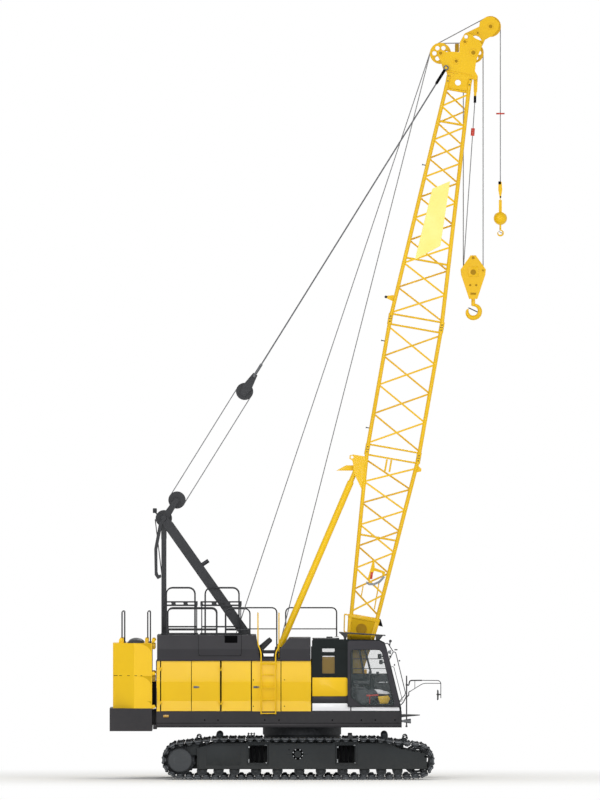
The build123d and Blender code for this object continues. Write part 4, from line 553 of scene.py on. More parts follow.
def makeTracks():
    # the master's ground side faces -Z, so it is turned to face away from the wheels
    stations, pitch = trackStations(0.3 + track["linkDepth"])
    masters = {"TrackShoes": (makeShoe(pitch), "shoeSteel"), "ShoeEdgeHighlights": (makeShoeHighlights(pitch), "paleSteelAndHighlight")}
    for side, name in flanks:
        for label, (master, finishName) in masters.items():
            copies = []
            for x, z, angle in stations:
                item = copyOf(master)
                turn = Matrix.Rotation(-(angle + math.pi / 2), 4, "Y")
                item.data.transform(Matrix.Translation((x * mm, side * track["gauge"] / 2 * mm, z * mm)) @ turn)
                copies.append(item)
            loop = addPiece(copies, name + label, finishName, "undercarriage", slot="track_steel")
            if label == "TrackShoes":
                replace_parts(loop, "track_" + name)
    for master, finishName in masters.values():
        bpy.data.objects.remove(master)


makeTracks()
print("stage: tracks made")


# hoist ropes from the drums

ropes = {"radius": 11, "guide": (3197, 16744), "guideRadius": 230, "drumZ": 2250,
         "drums": [(-450, 260), (-1600, 260), (-2700, 230)], "drumHalf": 320,
         "mainSheave": (3955, 16757), "noseSheave": (4354, 17364), "blockSheave": 11689,
         "luffing": ((-2888, 0, 6426), (0.528561, 0, 0.848895)), "luffingRows": (-200, -70, 70, 200),
         "nodes": {"mainHoistRope": "main_hoist_rope", "secondHoistRope": "second_hoist_rope"}}


def makeHoistRopes():
    # each rope runs straight from its drum to the guide sheave; the wraps lie on the drums
    for name, node in ropes["nodes"].items():
        low, high = boxOf(node)
        y = (low.y + high.y) / 2
        start = (low.x + ropes["radius"], y, low.z + 2)
        end = (high.x - ropes["radius"], y, high.z - 2)
        rope = addPiece([roundBar(start, end, ropes["radius"], 8)], name, "hoistRope", None)
        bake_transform(rope)
        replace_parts(rope, node)
    wraps = []
    pitch = 2 * ropes["radius"] + 1
    for x, radius in ropes["drums"]:
        for index in range(int(2 * ropes["drumHalf"] / pitch)):
            clearSelection()
            y = pitch * (index + 0.5) - ropes["drumHalf"]
            bpy.ops.mesh.primitive_torus_add(major_radius=(radius + ropes["radius"]) * mm,
                                             minor_radius=ropes["radius"] * mm, major_segments=32,
                                             minor_segments=6, location=(x * mm, y * mm, ropes["drumZ"] * mm),
                                             rotation=(math.pi / 2, 0, 0))
            wraps.append(bpy.context.object)
    addPiece(wraps, "drumWraps", "hoistRope", smoothAngle=60)


def stretchedRope(lines, name):
    # straight falls, each a round bar from its upper end to its foot
    rope = addPiece([roundBar(top, foot, ropes["radius"], 8) for top, foot in lines], name, "hoistRope", None)
    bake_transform(rope)
    return rope


def makeFalls():
    # boom hoist ropes between their two blocks, the falls of the main hook and the second hook's fall
    pin, along = [Vector(value) for value in ropes["luffing"]]
    start, end = pin + along * 5, pin + along * 2950
    lines = []
    for y in ropes["luffingRows"]:
        for side in (-1, 1):
            shift = Vector((along.z, 0, -along.x)) * (185 * side) + Vector((0, y, 0))
            lines.append((start + shift, end + shift))
    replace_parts(stretchedRope(lines, "luffingRopes"), "luffing_ropes")
    (middle, top), foot = ropes["mainSheave"], ropes["blockSheave"]
    lines = [((x, y, top), (x, y, foot)) for x, y in ((4183, -75), (4183, 75), (3727, 75))]
    falls = stretchedRope(lines, "mainFalls")
    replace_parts(falls, "main_falls")
    top, foot = (3990, -200, 15604), (3727, -75, 11749)
    stretchedRope([(top, foot)], "deadEndRope")
    top, foot = (4582, 0, 17364), (4582, 0, 13777)
    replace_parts(stretchedRope([(top, foot)], "secondFall"),
                "second_fall")


def makeHeadRopes():
    # over the head: guide sheave to main sheave and on to the nose sheave
    guide, reach = ropes["guide"], ropes["guideRadius"]
    runs = []
    for (x, z), radius, y, startY in ((ropes["mainSheave"], 228, -75, -75), (ropes["noseSheave"], 228, 0, 75)):
        along = math.atan2(z - guide[1], x - guide[0])
        top = along + math.pi / 2
        start = (guide[0] + reach * math.cos(top), startY, guide[1] + reach * math.sin(top))
        end = (x + radius * math.cos(top), y, z + radius * math.sin(top))
        runs.append(roundBar(start, end, ropes["radius"], 8))
    addPiece(runs, "headRopes", "hoistRope", "boom")


makeHoistRopes()
makeFalls()
makeHeadRopes()
print("stage: hoist ropes made")


# handrails and deck

rails = {
    "tube": 16, "bend": 110, "edge": 1420, "inner": 700, "top": 3927, "mid": 3437, "upperTop": 4400,
    "deck": 3320, "deckFront": -960,
    "rightRows": [(-3105, -1970, 3320), (-1765, -1200, 3320)],
    "leftRows": [(-3105, -1970, 3320), (-1765, -584, 2770), (-377, 802, 3253)],
    "upperRows": [(-3135, -2472), (-2236, -1455)],
}


def slottedPlate(rear, front, low, high, y):
    # foot plate with round-ended slots, cut before it gets its thickness
    plate = cutPlate([(rear, low + 25), (rear + 30, low), (rear + 60, low + 20), (front - 60, low + 20),
                      (front - 30, low), (front, low + 25), (front, high), (rear, high)], y - 4, y + 4, bevel=0)
    count = 3
    for index in range(count):
        middle = rear + (front - rear) * (index + 0.5) / count
        half, rise = (front - rear) / count * 0.3, (high - low) * 0.22
        centreZ = (low + high) / 2 + 12
        cutter = cutPlate([(middle - half, centreZ - rise), (middle + half, centreZ - rise),
                           (middle + half + 14, centreZ), (middle + half, centreZ + rise),
                           (middle - half, centreZ + rise), (middle - half - 14, centreZ)],
                          y - 20, y + 20, bevel=0)
        applyModifier(plate, "BOOLEAN", {"object": cutter, "operation": "DIFFERENCE"})
        bpy.data.objects.remove(cutter)
    return plate


def makeHandrails():
    # rails round the deck and over the hood, each bent from one tube, with foot plates
    pieces = []
    radius, bend = rails["tube"], rails["bend"]
    for side, rows in ((-1, rails["rightRows"]), (1, rails["leftRows"])):
        y = side * rails["edge"]
        for rear, front, floor in rows:
            rearFloor = rails["deck"] if rear < rails["deckFront"] else floor
            pieces.append(bentTube([(rear, y, rearFloor), (rear, y, rails["top"]), (front, y, rails["top"]),
                                    (front, y, floor)], radius, bend))
            pieces.append(bar((rear, front), y, rails["mid"], radius - 3))
            for x, low in ((rear, rearFloor), (front, floor)):
                pieces.append(cutBlock((x - 45, x + 45), (y - 35, y + 35), (low, low + 12), 3))
        y = side * rails["inner"]
        for rear, front in rails["upperRows"]:
            pieces.append(bentTube([(rear, y, rails["deck"]), (rear, y, rails["upperTop"]),
                                    (front, y, rails["upperTop"]), (front, y, rails["deck"])], radius, 140))
            pieces.append(slottedPlate(rear - 110, front + 60, 3960, 4085, y))
            for x in (rear - 80, front + 40):
                pieces.append(cutBlock((x - 10, x + 10), (y - 12, y + 12), (3345, 3990), 3))
            pieces.append(bar((rear - 80, front + 40), y, 3500, 12))
            pieces.append(cutBlock((rear - 120, front + 70), (y - 60, y + 60), (3322, 3352), 4))
    for x in (-4126, -3532):
        for y in (-1100, 1100):
            pieces.append(bentTube([(x - 31, y, 3133), (x - 31, y, 3862), (x + 31, y, 3862), (x + 31, y, 3133)],
                                   9, 30))
            pieces.append(cutBlock((x - 62, x + 62), (y - 30, y + 30), (3133, 3150), 3))
    piece = addPiece(pieces, "guardRails", "gantryGrey")
    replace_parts(piece, "handrails")


makeHandrails()
print("stage: handrails made")


# house, hood and sill dressing

house = {
    "half": 1500, "floor": 1564, "top": 2730, "foldTop": 2241, "foldLow": 1799, "pressing": 34,
    "hoodFold": 2996, "hoodTop": 3320, "hoodLean": 45, "gap": 6,
    "doors": [(-3257, -2553), (-2553, -1893), (-1849, -1167)],
    "seal": 9, "latch": 2121, "boltRows": (-404, -1120), "boltHeights": (2288, 1679),
}


def faceDepth(z):
    # how far the pressed side lies inside the house's widest plane at a height
    deep, upper, lower = house["pressing"], house["foldTop"], house["foldLow"]
    if z >= upper:
        share = (z - upper) / (house["top"] - upper)
        return deep * share * (0.2 + 0.8 * share)
    if z >= lower:
        return deep * (upper - z) / (upper - lower)
    return deep * (z - house["floor"]) / (lower - house["floor"])


def facingStrip(xFrom, xTo, side, proud, low, high):
    # a thin strip that follows the pressed side: a row of quads, thickened outwards
    steps = 12
    heights = sorted({low, high, house["foldTop"], house["foldLow"]}
                     | {low + (high - low) * k / steps for k in range(steps + 1)})
    outline = [(faceDepth(z) + 2, z) for z in heights] + [(faceDepth(z) - proud, z) for z in reversed(heights)]
    item = cutPlate([(0, z) for _, z in outline], 0, 10, bevel=0)
    count = len(outline)
    for index, vertex in enumerate(item.data.vertices):
        depth, z = outline[index % count]
        x = xFrom if index < count else xTo
        vertex.co = (x * mm, side * (house["half"] - depth) * mm, z * mm)
    return faceOutwards(item)


def roundHead(x, y, z, side, radius=14, rise=8):
    # domed bolt head on a side face
    return bar(x, (y, y + side * rise), z, radius, 10, radius * 0.6)


def makeDoorTrim():
    # the dark line down one edge of every leaf, and the latches
    low, high = house["floor"] + house["gap"], house["top"] - house["gap"]
    for side, name in flanks:
        for number, (rear, front) in enumerate(house["doors"], 1):
            body = name + "_house_door_" + str(number)
            x = rear + 3 if number < 3 else front - 3 - house["seal"]
            edge = facingStrip(x, x + house["seal"], side, 2.5, low, high)
            addPiece([edge], name + "DoorSeal" + str(number), "deepBlack", body)
        latches = ((-2440, name + "_house_door_2"), (-1060, "superstructure"))
        for number, (x, body) in enumerate(latches, 1):
            z = house["latch"]
            y = side * (house["half"] - faceDepth(z))
            plate = cutBlock((x - 60, x + 40), (y - side * 4, y + side * 5), (z - 26, z + 26), 3)
            knob = bar(x + 60, (y - side * 4, y + side * 12), z, 17, 16)
            addPiece([plate, knob], name + "Latch" + str(number), "paleSteelAndHighlight", body)


def makeHouseTrim():
    # joints of the fixed panels, their bolts, the sill's bolts and lip, and the marker lamp
    for side, name in flanks:
        low, high = house["floor"] + 2, house["top"] - 2
        joints = [facingStrip(x - half, x + half, side, 2.0, low, high)
                  for x, half in ((-3262, 8), (-1871, 16), (-1162, 8), (-485, 9))]
        joints.append(cutBlock((-3350, 2298), (side * 1499, side * 1516), (1284, 1294), 0))
        inside = side * (house["half"] - house["pressing"] - 2)
        joints.append(cutBlock((-3350, 206), (side * 1499, inside), (2724, 2738), 2))
        addPiece(joints, name + "PanelJoints", "deepBlack")
        bolts = [roundHead(x, side * (house["half"] - faceDepth(z) - 2), z, side)
                 for x in house["boltRows"] for z in house["boltHeights"]]
        bolts += [roundHead(x, side * 1498, z, side, 19, 12)
                  for x in (-2242, -1935, -856, -529, 700, 1370, 1690, 2140) for z in (1362, 1255)]
        addPiece(bolts, name + "SillBolts", "deepBlack")
        lip = cutBlock((-3350, 2298), (side * 1496, side * 1514), (1192, 1288), 5)
        foot = cutBlock((-3432, -3340), (side * 1380, side * 1480), (1150, 1250), 8)
        rear = cutBlock((-3365, -3345), (side * 1300, side * 1490), (1230, 2735), 5)
        addPiece([lip, foot, rear], name + "SillLip", "hoodGrey")
        lamp = cutBlock((-3195, -3070), (side * 1498, side * 1522), (1424, 1482), 9)
        addPiece([lamp], name + "MarkerLamp", "amberLens")


hood = {
    "louvre": (-1783, -1488, 3137, 3306), "hatch": (-2393, -1392, 2838), "pad": ((-950, 2999), (-719, 3211)),
    "walkway": (-960, -508),
}


def hoodDepth(z):
    return max(0, z - house["hoodFold"]) * house["hoodLean"] / (house["hoodTop"] + 1 - house["hoodFold"])


def hoodSeam(side, xs, zs):
    # a thin line on the hood's side, bent where the side folds inwards
    low, high = zs
    cuts = [low, house["hoodFold"], high] if low < house["hoodFold"] < high else [low, high]
    strip = []
    for a, b in zip(cuts, cuts[1:]):
        item = cutBlock(xs, (0, 1), (a, b), 0)
        for vertex in item.data.vertices:
            proud = -3 if vertex.co.y < mm / 2 else 2
            vertex.co.y = side * (house["half"] - hoodDepth(vertex.co.z / mm) + proud) * mm
        strip.append(faceOutwards(item))
    return strip


def makeHoodTrim():
    # seams of the hatch, the louvre and what stands in the walkway's gap
    for side, name in flanks:
        rear, front, low = hood["hatch"]
        seams = []
        for xs, zs in (((rear, rear + 9), (low + 40, 3318)), ((front - 9, front), (low + 40, 3318)),
                       ((rear + 40, front - 40), (low, low + 9)), ((rear + 9, rear + 40), (low + 9, low + 30)),
                       ((front - 40, front - 9), (low + 9, low + 30))):
            seams += hoodSeam(side, xs, zs)
        addPiece(seams, name + "HatchSeams", "deepBlack")
        rear, front, low, high = hood["louvre"]
        y = side * (house["half"] - hoodDepth((low + high) / 2))
        frameBlock = cutBlock((rear, front), (y - side * 30, y + side * 12), (low, high), 4)
        slats = [cutBlock((rear + 14, front - 14), (y + side * 8, y + side * 24), (z, z + 16), 3)
                 for z in range(int(low) + 16, int(high) - 20, 34)]
        addPiece([frameBlock] + slats, name + "Louvre", "deepBlack")
        rear, front = hood["walkway"]
        y = side * (house["half"] - 90)
        (padX, padZ), (padEndX, padEndZ) = hood["pad"]
        tread = [bar((padX + 20, padEndX), y, (padZ, padEndZ), 48, 14),
                 cutBlock((rear + 20, front - 20), (y - 60, y + 60), (2895, 2945), 6),
                 cutBlock((rear - 20, front + 20), (y - 40, y + 40), (2772, 2800), 4)]
        addPiece(tread, name + "WalkwayPad", "blackRubber")


weight = {
    "half": 1560, "corner": -3869, "cut": 420 / 490, "lugs": [(3133, 3290), (2390, 2520), (1640, 1740)],
    "rearLug": (1236, 1266, 1286), "lid": (-3833, 1250, 3130), "seam": 2384,
}


def weightHalf(x):
    # half width of the counterweight, whose rear corners are cut off
    return weight["half"] - max(0, weight["corner"] - x) * weight["cut"]


def makeWeightTrim():
    # lifting lugs, the shadows that they cast painted as flat darker yellow plates, the shims in the seam
    # between the blocks and the lids on top
    for side, name in flanks:
        y = side * weight["half"]
        inner, outer, tip = weight["rearLug"]
        lugs, lugShadows = [], []
        for low, high in weight["lugs"]:
            z = (low + high) / 2 - 20
            lugs.append(cutPlate([(-3462, z - 44), (-3400, z - 44), (-3372, z), (-3400, z + 44),
                                  (-3462, z + 44)], y - side * 30, y - side * 6, 4))
            lugs.append(bar(-3420, (y - side * 6, y + side * 8), z, 22, 14))
        lugs.append(cutPlate([(-4222, 3120), (-4108, 3120), (-4108, 3200), (-4130, 3240), (-4165, 3252),
                              (-4200, 3240), (-4222, 3200)], side * inner, side * outer, 4))
        lugs.append(bar(-4165, (side * outer, side * tip), 3198, 24, 16))
        addPiece(lugs, name + "WeightLugs", "craneYellow")
        # painted shadow: quarter-round plates in darker yellow where each lug casts its shadow on the block
        for low, high, reach in ((2892, 3128, 346), (2140, 2378, 346), (1690, 1800, 130)):
            rise = high - low
            curve = [(-3473 - reach * (1 - math.cos(k * math.pi / 12)), low + rise * math.sin(k * math.pi / 12))
                     for k in range(7)]
            outline = [(-3473, low)] + curve[1:] + [(-3473, high)]
            lugShadows.append(cutPlate(outline, y - side * 2, y + side * 1.2, 0))
        addPiece(lugShadows, name + "WeightLugShadows", "paintedShadeYellow")
        marks = []
        for x, length in ((-4340, 90), (-4210, 60), (-4030, 60), (-3860, 60), (-3720, 40)):
            ends = (side * weightHalf(x), side * weightHalf(x + length))
            marks.append(bar((x, x + length), ends, weight["seam"], 6, 6))
        marks.append(cutBlock((-3456, -3352), (y - side * 160, y - side * 90), (1650, 2245), 6))
        addPiece(marks, name + "SeamShims", "deepBlack")
    dome = []
    for side in (-1, 1):
        x, y, z = weight["lid"]
        clearSelection()
        bpy.ops.mesh.primitive_uv_sphere_add(segments=32, ring_count=16, radius=1,
                                             location=(x * mm, side * y * mm, z * mm),
                                             scale=(187 * mm, 187 * mm, 104 * mm))
        dome.append(settle(bpy.context.object))
        dome.append(bar(x, side * y, (z, z + 16), 205, 32))
    addPiece(dome, "weightCaps", "blackPlastic")


makeDoorTrim()
makeHouseTrim()
makeHoodTrim()
makeWeightTrim()
print("stage: house, hood and counterweight trimmed")


# cab dressing and interior

cab = {
    "outer": 1500, "inner": 625, "proud": 5,
    "yellow": [(240, 1911), (1005, 1911), (1038, 1925), (1050, 1955), (1050, 2298), (1038, 2328), (1005, 2342),
               (240, 2342)],
    "band": [(240, 1756), (1052, 1756), (1086, 1790), (1086, 1902), (240, 1902)],
    "strips": [[(240, 1575), (1112, 1575), (1112, 1652), (1030, 1748), (240, 1748)],
               [(1138, 1575), (2250, 1575), (2238, 1660), (1138, 1660)]],
    "sideWindows": [(462, 757, 2432, 2846), (462, 757, 2918, 3036)],
    "doorWindow": [(1383, 1695), (1122, 1880), (1122, 2940), (1160, 2985), (1785, 2985), (1840, 2935),
                   (2130, 1735), (2100, 1695)],
    "doorFace": 1552, "railY": -1440, "floor": 1624, "visorRows": (-1440, -710),
}


def edgeLine(points, y, radius):
    # a closed bead that follows an outline in one upright plane
    path = [(x, y, z) for x, z in points]
    (x, z), (nextX, nextZ) = points[:2]
    start = ((x + nextX) / 2, y, (z + nextZ) / 2)
    return bentTube([start] + path[1:] + [path[0], start], radius, 30, 8)


def makeCabSides():
    # painted panels and strips under the windows, and the rubber round the panes
    y, proud = -cab["outer"], cab["proud"]
    addPiece([cutPlate(cab["yellow"], y + 1, y - proud, 3)],
             "cabYellowPanel", "craneYellow", slot="yellow_paint")
    addPiece([cutPlate(cab["band"], y + 1, y - proud + 2, 2)], "cabDarkBand", "hoodGrey")
    strips = [cutPlate(outline, y + 1, y - proud, 3) for outline in cab["strips"]]
    addPiece(strips, "cabWhiteStrips", "stripWhite")
    beads = []
    for rear, front, low, high in cab["sideWindows"]:
        corners = [(rear, low), (front, low), (front, high), (rear, high)]
        beads.append(edgeLine(corners, y + 1, 4))
        beads.append(edgeLine(corners, -1 - cab["inner"], 4))
    addPiece(beads, "cabWindowSeals", "blackRubber")
    rear, front, low, high = cab["sideWindows"][0]
    pane = cutBlock((rear, front), (y + 18, y + 22), (low, high - 26), 0)
    # painted light: a white strip at the side window's top, standing for the bright backdrop seen through the
    # cab
    windowTopLight = cutBlock((rear, front), (y + 14, y + 26), (high - 26, high), 3)
    addPiece([pane], "cabTintedPane", "tintedGlass")
    addPiece([windowTopLight], "cabWindowTopLight", "stripWhite")
    addPiece([cutBlock((206, 233), (y + 20, y + 110), (1566, 3060), 3)], "cabRearSeal", "deepBlack")
    cap = [cutBlock((238, 860), (y + 4, -cab["inner"] - 4), (3216, 3252), 14),
           cutBlock((560, 705), (y + 200, y + 420), (3248, 3284), 12)]
    addPiece(cap, "cabRoofCap", "blackPlastic")


def makeCabDoorTrim():
    # seal round the sliding door's window, its handle and its lock
    y = -cab["doorFace"]
    seal = edgeLine(cab["doorWindow"], y + 1, 7)
    addPiece([seal], "cabDoorSeal", "blackRubber", "sliding_cab_door", 60)
    grip = bentTube([(1085, y + 2, 2060), (1085, y - 16, 2060), (1085, y - 16, 2240), (1085, y + 2, 2240)],
                    7, 16)
    lock = cutBlock((1066, 1104), (y + 2, y - 8), (1985, 2035), 4)
    addPiece([grip, lock], "cabDoorHandle", "blackPlastic", "sliding_cab_door")


def makeCabRails():
    # visor over the roof, step, mirror arm on its pole and the rods before the windscreen
    y = cab["railY"]
    visor = [cutPlate([(855, 3392), (1925, 3320), (1925, 3298), (1150, 3340), (855, 3366)], y - 10, -700, 4)]
    for row in cab["visorRows"]:
        visor.append(cutPlate([(862, 3368), (1060, 3348), (1014, 3214), (972, 3214), (950, 3290)],
                              row - 8, row + 8, 3))
        visor.append(cutPlate([(1690, 3312), (1862, 3300), (1790, 3206), (1704, 3206)], row - 8, row + 8, 3))
    step = cutPlate([(2289, 1500), (2716, 1488), (2716, 1470), (2289, 1428)], y - 250, y + 250, 6)
    pole = bar(2410, y, (1204, 2384), 15)
    clamps = [cutBlock((2388, 2436), (y - 24, y + 24), (z - 22, z + 22), 5) for z in (2172, 1909)]
    clamps.append(cutBlock((2384, 2432), (y - 26, y + 26), (1196, 1236), 8))
    hinge = [bentTube([(2420, y, 2172), (2460, y, 2160), (2484, y, 2274), (2760, y, 2277)], 15, 40),
             bentTube([(2420, y, 1909), (2460, y, 1920), (2460, y, 2008), (2500, y, 2030)], 12, 40)]
    foot = bentTube([(2270, y, 1706), (2330, y, 1760), (2400, y, 1900)], 12, 40)
    mirror = cutPlate([(3112, 1815), (3146, 1830), (3152, 1950), (3146, 2048), (3112, 2066)],
                      y - 108, y + 108, 12)
    bridge = cutBlock((3098, 3204), (y - 20, y + 20), (1936, 1966), 5)
    piece = addPiece(visor + [step, pole, foot, mirror, bridge] + clamps + hinge, "cabRailings", "blackPlastic")
    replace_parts(piece, "cab_rails")
    arms = [bentTube([(2740, y, 2277), (3150, y, 2274), (3199, y, 2230), (3199, y, 1866)], 9, 60),
            bentTube([(2470, y, 2008), (2790, y, 2208), (3196, y, 2208)], 8, 60), bar(2600, y, (2277, 2092), 7)]
    addPiece(arms, "mirrorArm", "gantryGrey", smoothAngle=60)
    rods = [bentTube([(x, row, z) for x, z in line], radius, 50) for row, radius, line in (
                (y, 10, [(1985, 2700), (2100, 2935), (2157, 2925), (2392, 1960), (2250, 1800)]),
                (y + 40, 7, [(2010, 2560), (2110, 2610), (2316, 1804), (2245, 1780)]),
                (y, 11, [(1900, 3110), (1975, 3140), (2030, 3050), (2100, 2940)]))]
    rods += [bar((2020, 2036), y, (3080, 3196), 14), bar(2036, (y - 34, y + 34), 3180, 34, 16)]
    rods += [cutBlock(xs, (y - half, y + half), zs, bevel) for xs, half, zs, bevel in (
                ((2128, 2200), 20, (2968, 2996), 6), ((2226, 2262), 14, (2712, 2744), 5),
                ((2118, 2146), 14, (2612, 2652), 5), ((2010, 2060), 20, (2800, 2850), 6))]
    addPiece(rods, "windscreenRods", "blackPlastic", smoothAngle=60)


def lampHead(x, y, z, radius, depth):
    # housing turned towards the front, with its lens set in the rim
    shell = bar((x - depth, x), y, z, radius * 0.6, 20, radius)
    rim = bar((x, x + 12), y, z, radius, 20)
    lens = bar((x + 8, x + 18), y, z, radius * 0.88, 20, radius * 0.7)
    return [shell, rim], lens


def makeCabLamps():
    # step lamp, the lamp on the corner of the roof, two headlamps and the wiper
    y = cab["railY"]
    shells, lenses = [], []
    for x, side, z, radius, depth in ((2496, y, 1338, 56, 150), (2040, y - 20, 2928, 46, 60),
                                      (2285, -560, 1420, 62, 60), (2285, 560, 1420, 62, 60)):
        shell, lens = lampHead(x, side, z, radius, depth)
        shells += shell
        lenses.append(lens)
    shells.append(cutBlock((2290, 2352), (y - 30, y + 30), (1310, 1366), 8))
    addPiece(shells, "lampHousings", "lampGrey", smoothAngle=40)
    addPiece(lenses, "lampLenses", "clearLens", smoothAngle=40)
    wiper = [bentTube([(2120, -1060, 2000), (2100, -1060, 2200), (2030, -900, 2560)], 9, 60),
             bar((2068, 1982), -900, (2330, 2760), 8)]
    addPiece(wiper, "windscreenWiper", "blackRubber", smoothAngle=60)


def cushion(xs, ys, zs, crown, tilt=0):
    # a block divided, then blown up most in its middle, and smoothed
    middle = [sum(pair) / 2 for pair in (xs, ys, zs)]
    half = [(high - low) / 2 for low, high in (xs, ys, zs)]
    clearSelection()
    bpy.ops.mesh.primitive_cube_add(size=2)
    item = bpy.context.object
    bpy.ops.object.mode_set(mode="EDIT")
    bpy.ops.mesh.select_all(action="SELECT")
    bpy.ops.mesh.subdivide(number_cuts=7)
    bpy.ops.object.mode_set(mode="OBJECT")
    for vertex in item.data.vertices:
        point = vertex.co.copy()
        pinch = 1 - 0.10 * (point.z ** 2) * max(abs(point.x), abs(point.y)) ** 4
        rise = (1 - point.x ** 4) * (1 - point.y ** 4)
        vertex.co.x = point.x * half[0] * pinch * mm
        vertex.co.y = point.y * half[1] * pinch * mm
        vertex.co.z = (point.z * half[2] + (crown * rise if point.z > 0 else 0)) * mm
    item.data.transform(Matrix.Rotation(math.radians(tilt), 4, "Y"))
    item.data.transform(Matrix.Translation(Vector(middle) * mm))
    return applyModifier(item, "SUBSURF", {"levels": 1, "render_levels": 1})


def makeCabInside():
    # seat with its padding, consoles, monitors and what lies on the floor
    middle = -(cab["outer"] + cab["inner"]) / 2
    floor = cab["floor"]
    stand = [cutBlock((1020, 1390), (middle - 180, middle + 180), (floor, floor + 250), 30),
             bar(1205, middle, (floor + 245, floor + 345), 190, 24, 150),
             cutBlock((960, 1470), (middle - 240, middle + 240), (floor + 340, floor + 372), 12)]
    for side in (-1, 1):
        arm, post = middle + side * 270, middle + side * 262
        stand += [cutBlock((1180, 1560), (arm - 40, arm + 40), (floor + 560, floor + 640), 20),
                  cutBlock((1220, 1300), (post - 20, post + 20), (floor + 350, floor + 570), 8),
                  bar((1530, 1560), arm, (floor + 630, floor + 790), 12),
                  bar((1556, 1566), arm, (floor + 770, floor + 850), 26, 14)]
    addPiece(stand, "seatStand", "blackPlastic")
    seat = cushion((965, 1475), (middle - 245, middle + 245), (floor + 372, floor + 470), 26)
    back = cushion((-340, 340), (middle - 235, middle + 235), (-60, 60), 24, tilt=-98)
    back.data.transform(Matrix.Translation(Vector((935, 0, floor + 800)) * mm))
    head = cushion((-90, 90), (middle - 130, middle + 130), (-42, 42), 14, tilt=-98)
    head.data.transform(Matrix.Translation(Vector((868, 0, floor + 1225)) * mm))
    for item, name in ((seat, "seatCushion"), (back, "seatBack"), (head, "seatHead")):
        piece = addPiece([item], name, "seatCloth", smoothAngle=80)
        if name == "seatCushion":
            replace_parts(piece, "cab_seat")
    dash = [cutPlate([(1700, floor), (1960, floor), (2120, 1960), (1960, 2380), (1800, 2427), (1660, 2427)],
                     -690, -760, 20),
            cutBlock((1640, 1760), (-780, -1120), (2380, 2424), 16), bar(1744, -800, (2400, 2468), 42, 16, 30),
            cutBlock((1745, 1835), (-760, -900), (2770, 2880), 14),
            cutBlock((1780, 1862), (-760, -900), (2640, 2740), 14),
            bar((1835, 1905), -800, (2826, 2800), 14), bar((1862, 1940), -800, (2690, 2670), 14)]
    dash += [bar((rear, front), -704, (2985, 2430), 24, 10) for rear, front in ((1322, 1425), (1452, 1592))]
    dash += [bar((1135, 1985 if z < 2600 else 1930), -700, z, 8, 8) for z in (2540, 2765)]
    addPiece(dash, "cabConsole", "blackPlastic")
    covers = [bar(1431, (-1330, -1300), 1915, 172, 32, 160), bar(1622, (-1290, -1262), 1950, 120, 32, 110)]
    addPiece(covers, "floorCovers", "driveGrey", slot="dark_paint")
    lever = bar((1486, 1760), -1345, (1922, 1936), 20, 12)
    addPiece([lever, bar(1560, (-1345, -1330), (1920, 1640), 9)], "lockLever", "markerRed")
    case = cutPlate([(1742, 1905), (1990, 1925), (2034, 1846), (1985, 1738), (1800, 1726)], -1310, -1180, 14)
    addPiece([case], "toolCase", "craneYellow", slot="yellow_paint")
    cover = [cutPlate([(1664, 2070), (1800, 2062), (2000, 1998), (2034, 1972), (1960, 1952), (1760, 1962),
                       (1700, 1990)], -1290, -1150, 12),
             bar((1772, 1905), -1180, (2226, 2230), 8), bar((1945, 1965), -1180, (2222, 2238), 12)]
    addPiece(cover, "controlCover", "stripWhite")


makeCabSides()
makeCabDoorTrim()
makeCabRails()
makeCabLamps()
makeCabInside()
print("stage: cab fitted out")


# undercarriage dressing

under = {
    "face": 2305, "top": 838, "windows": [-1022, 1022], "windowHalf": 221, "windowZ": (366, 806),
    "hub": (-97, 587), "hubRadius": 130, "sprocket": (-2813, 445), "driveFace": 2335, "stepLine": 1540,
}


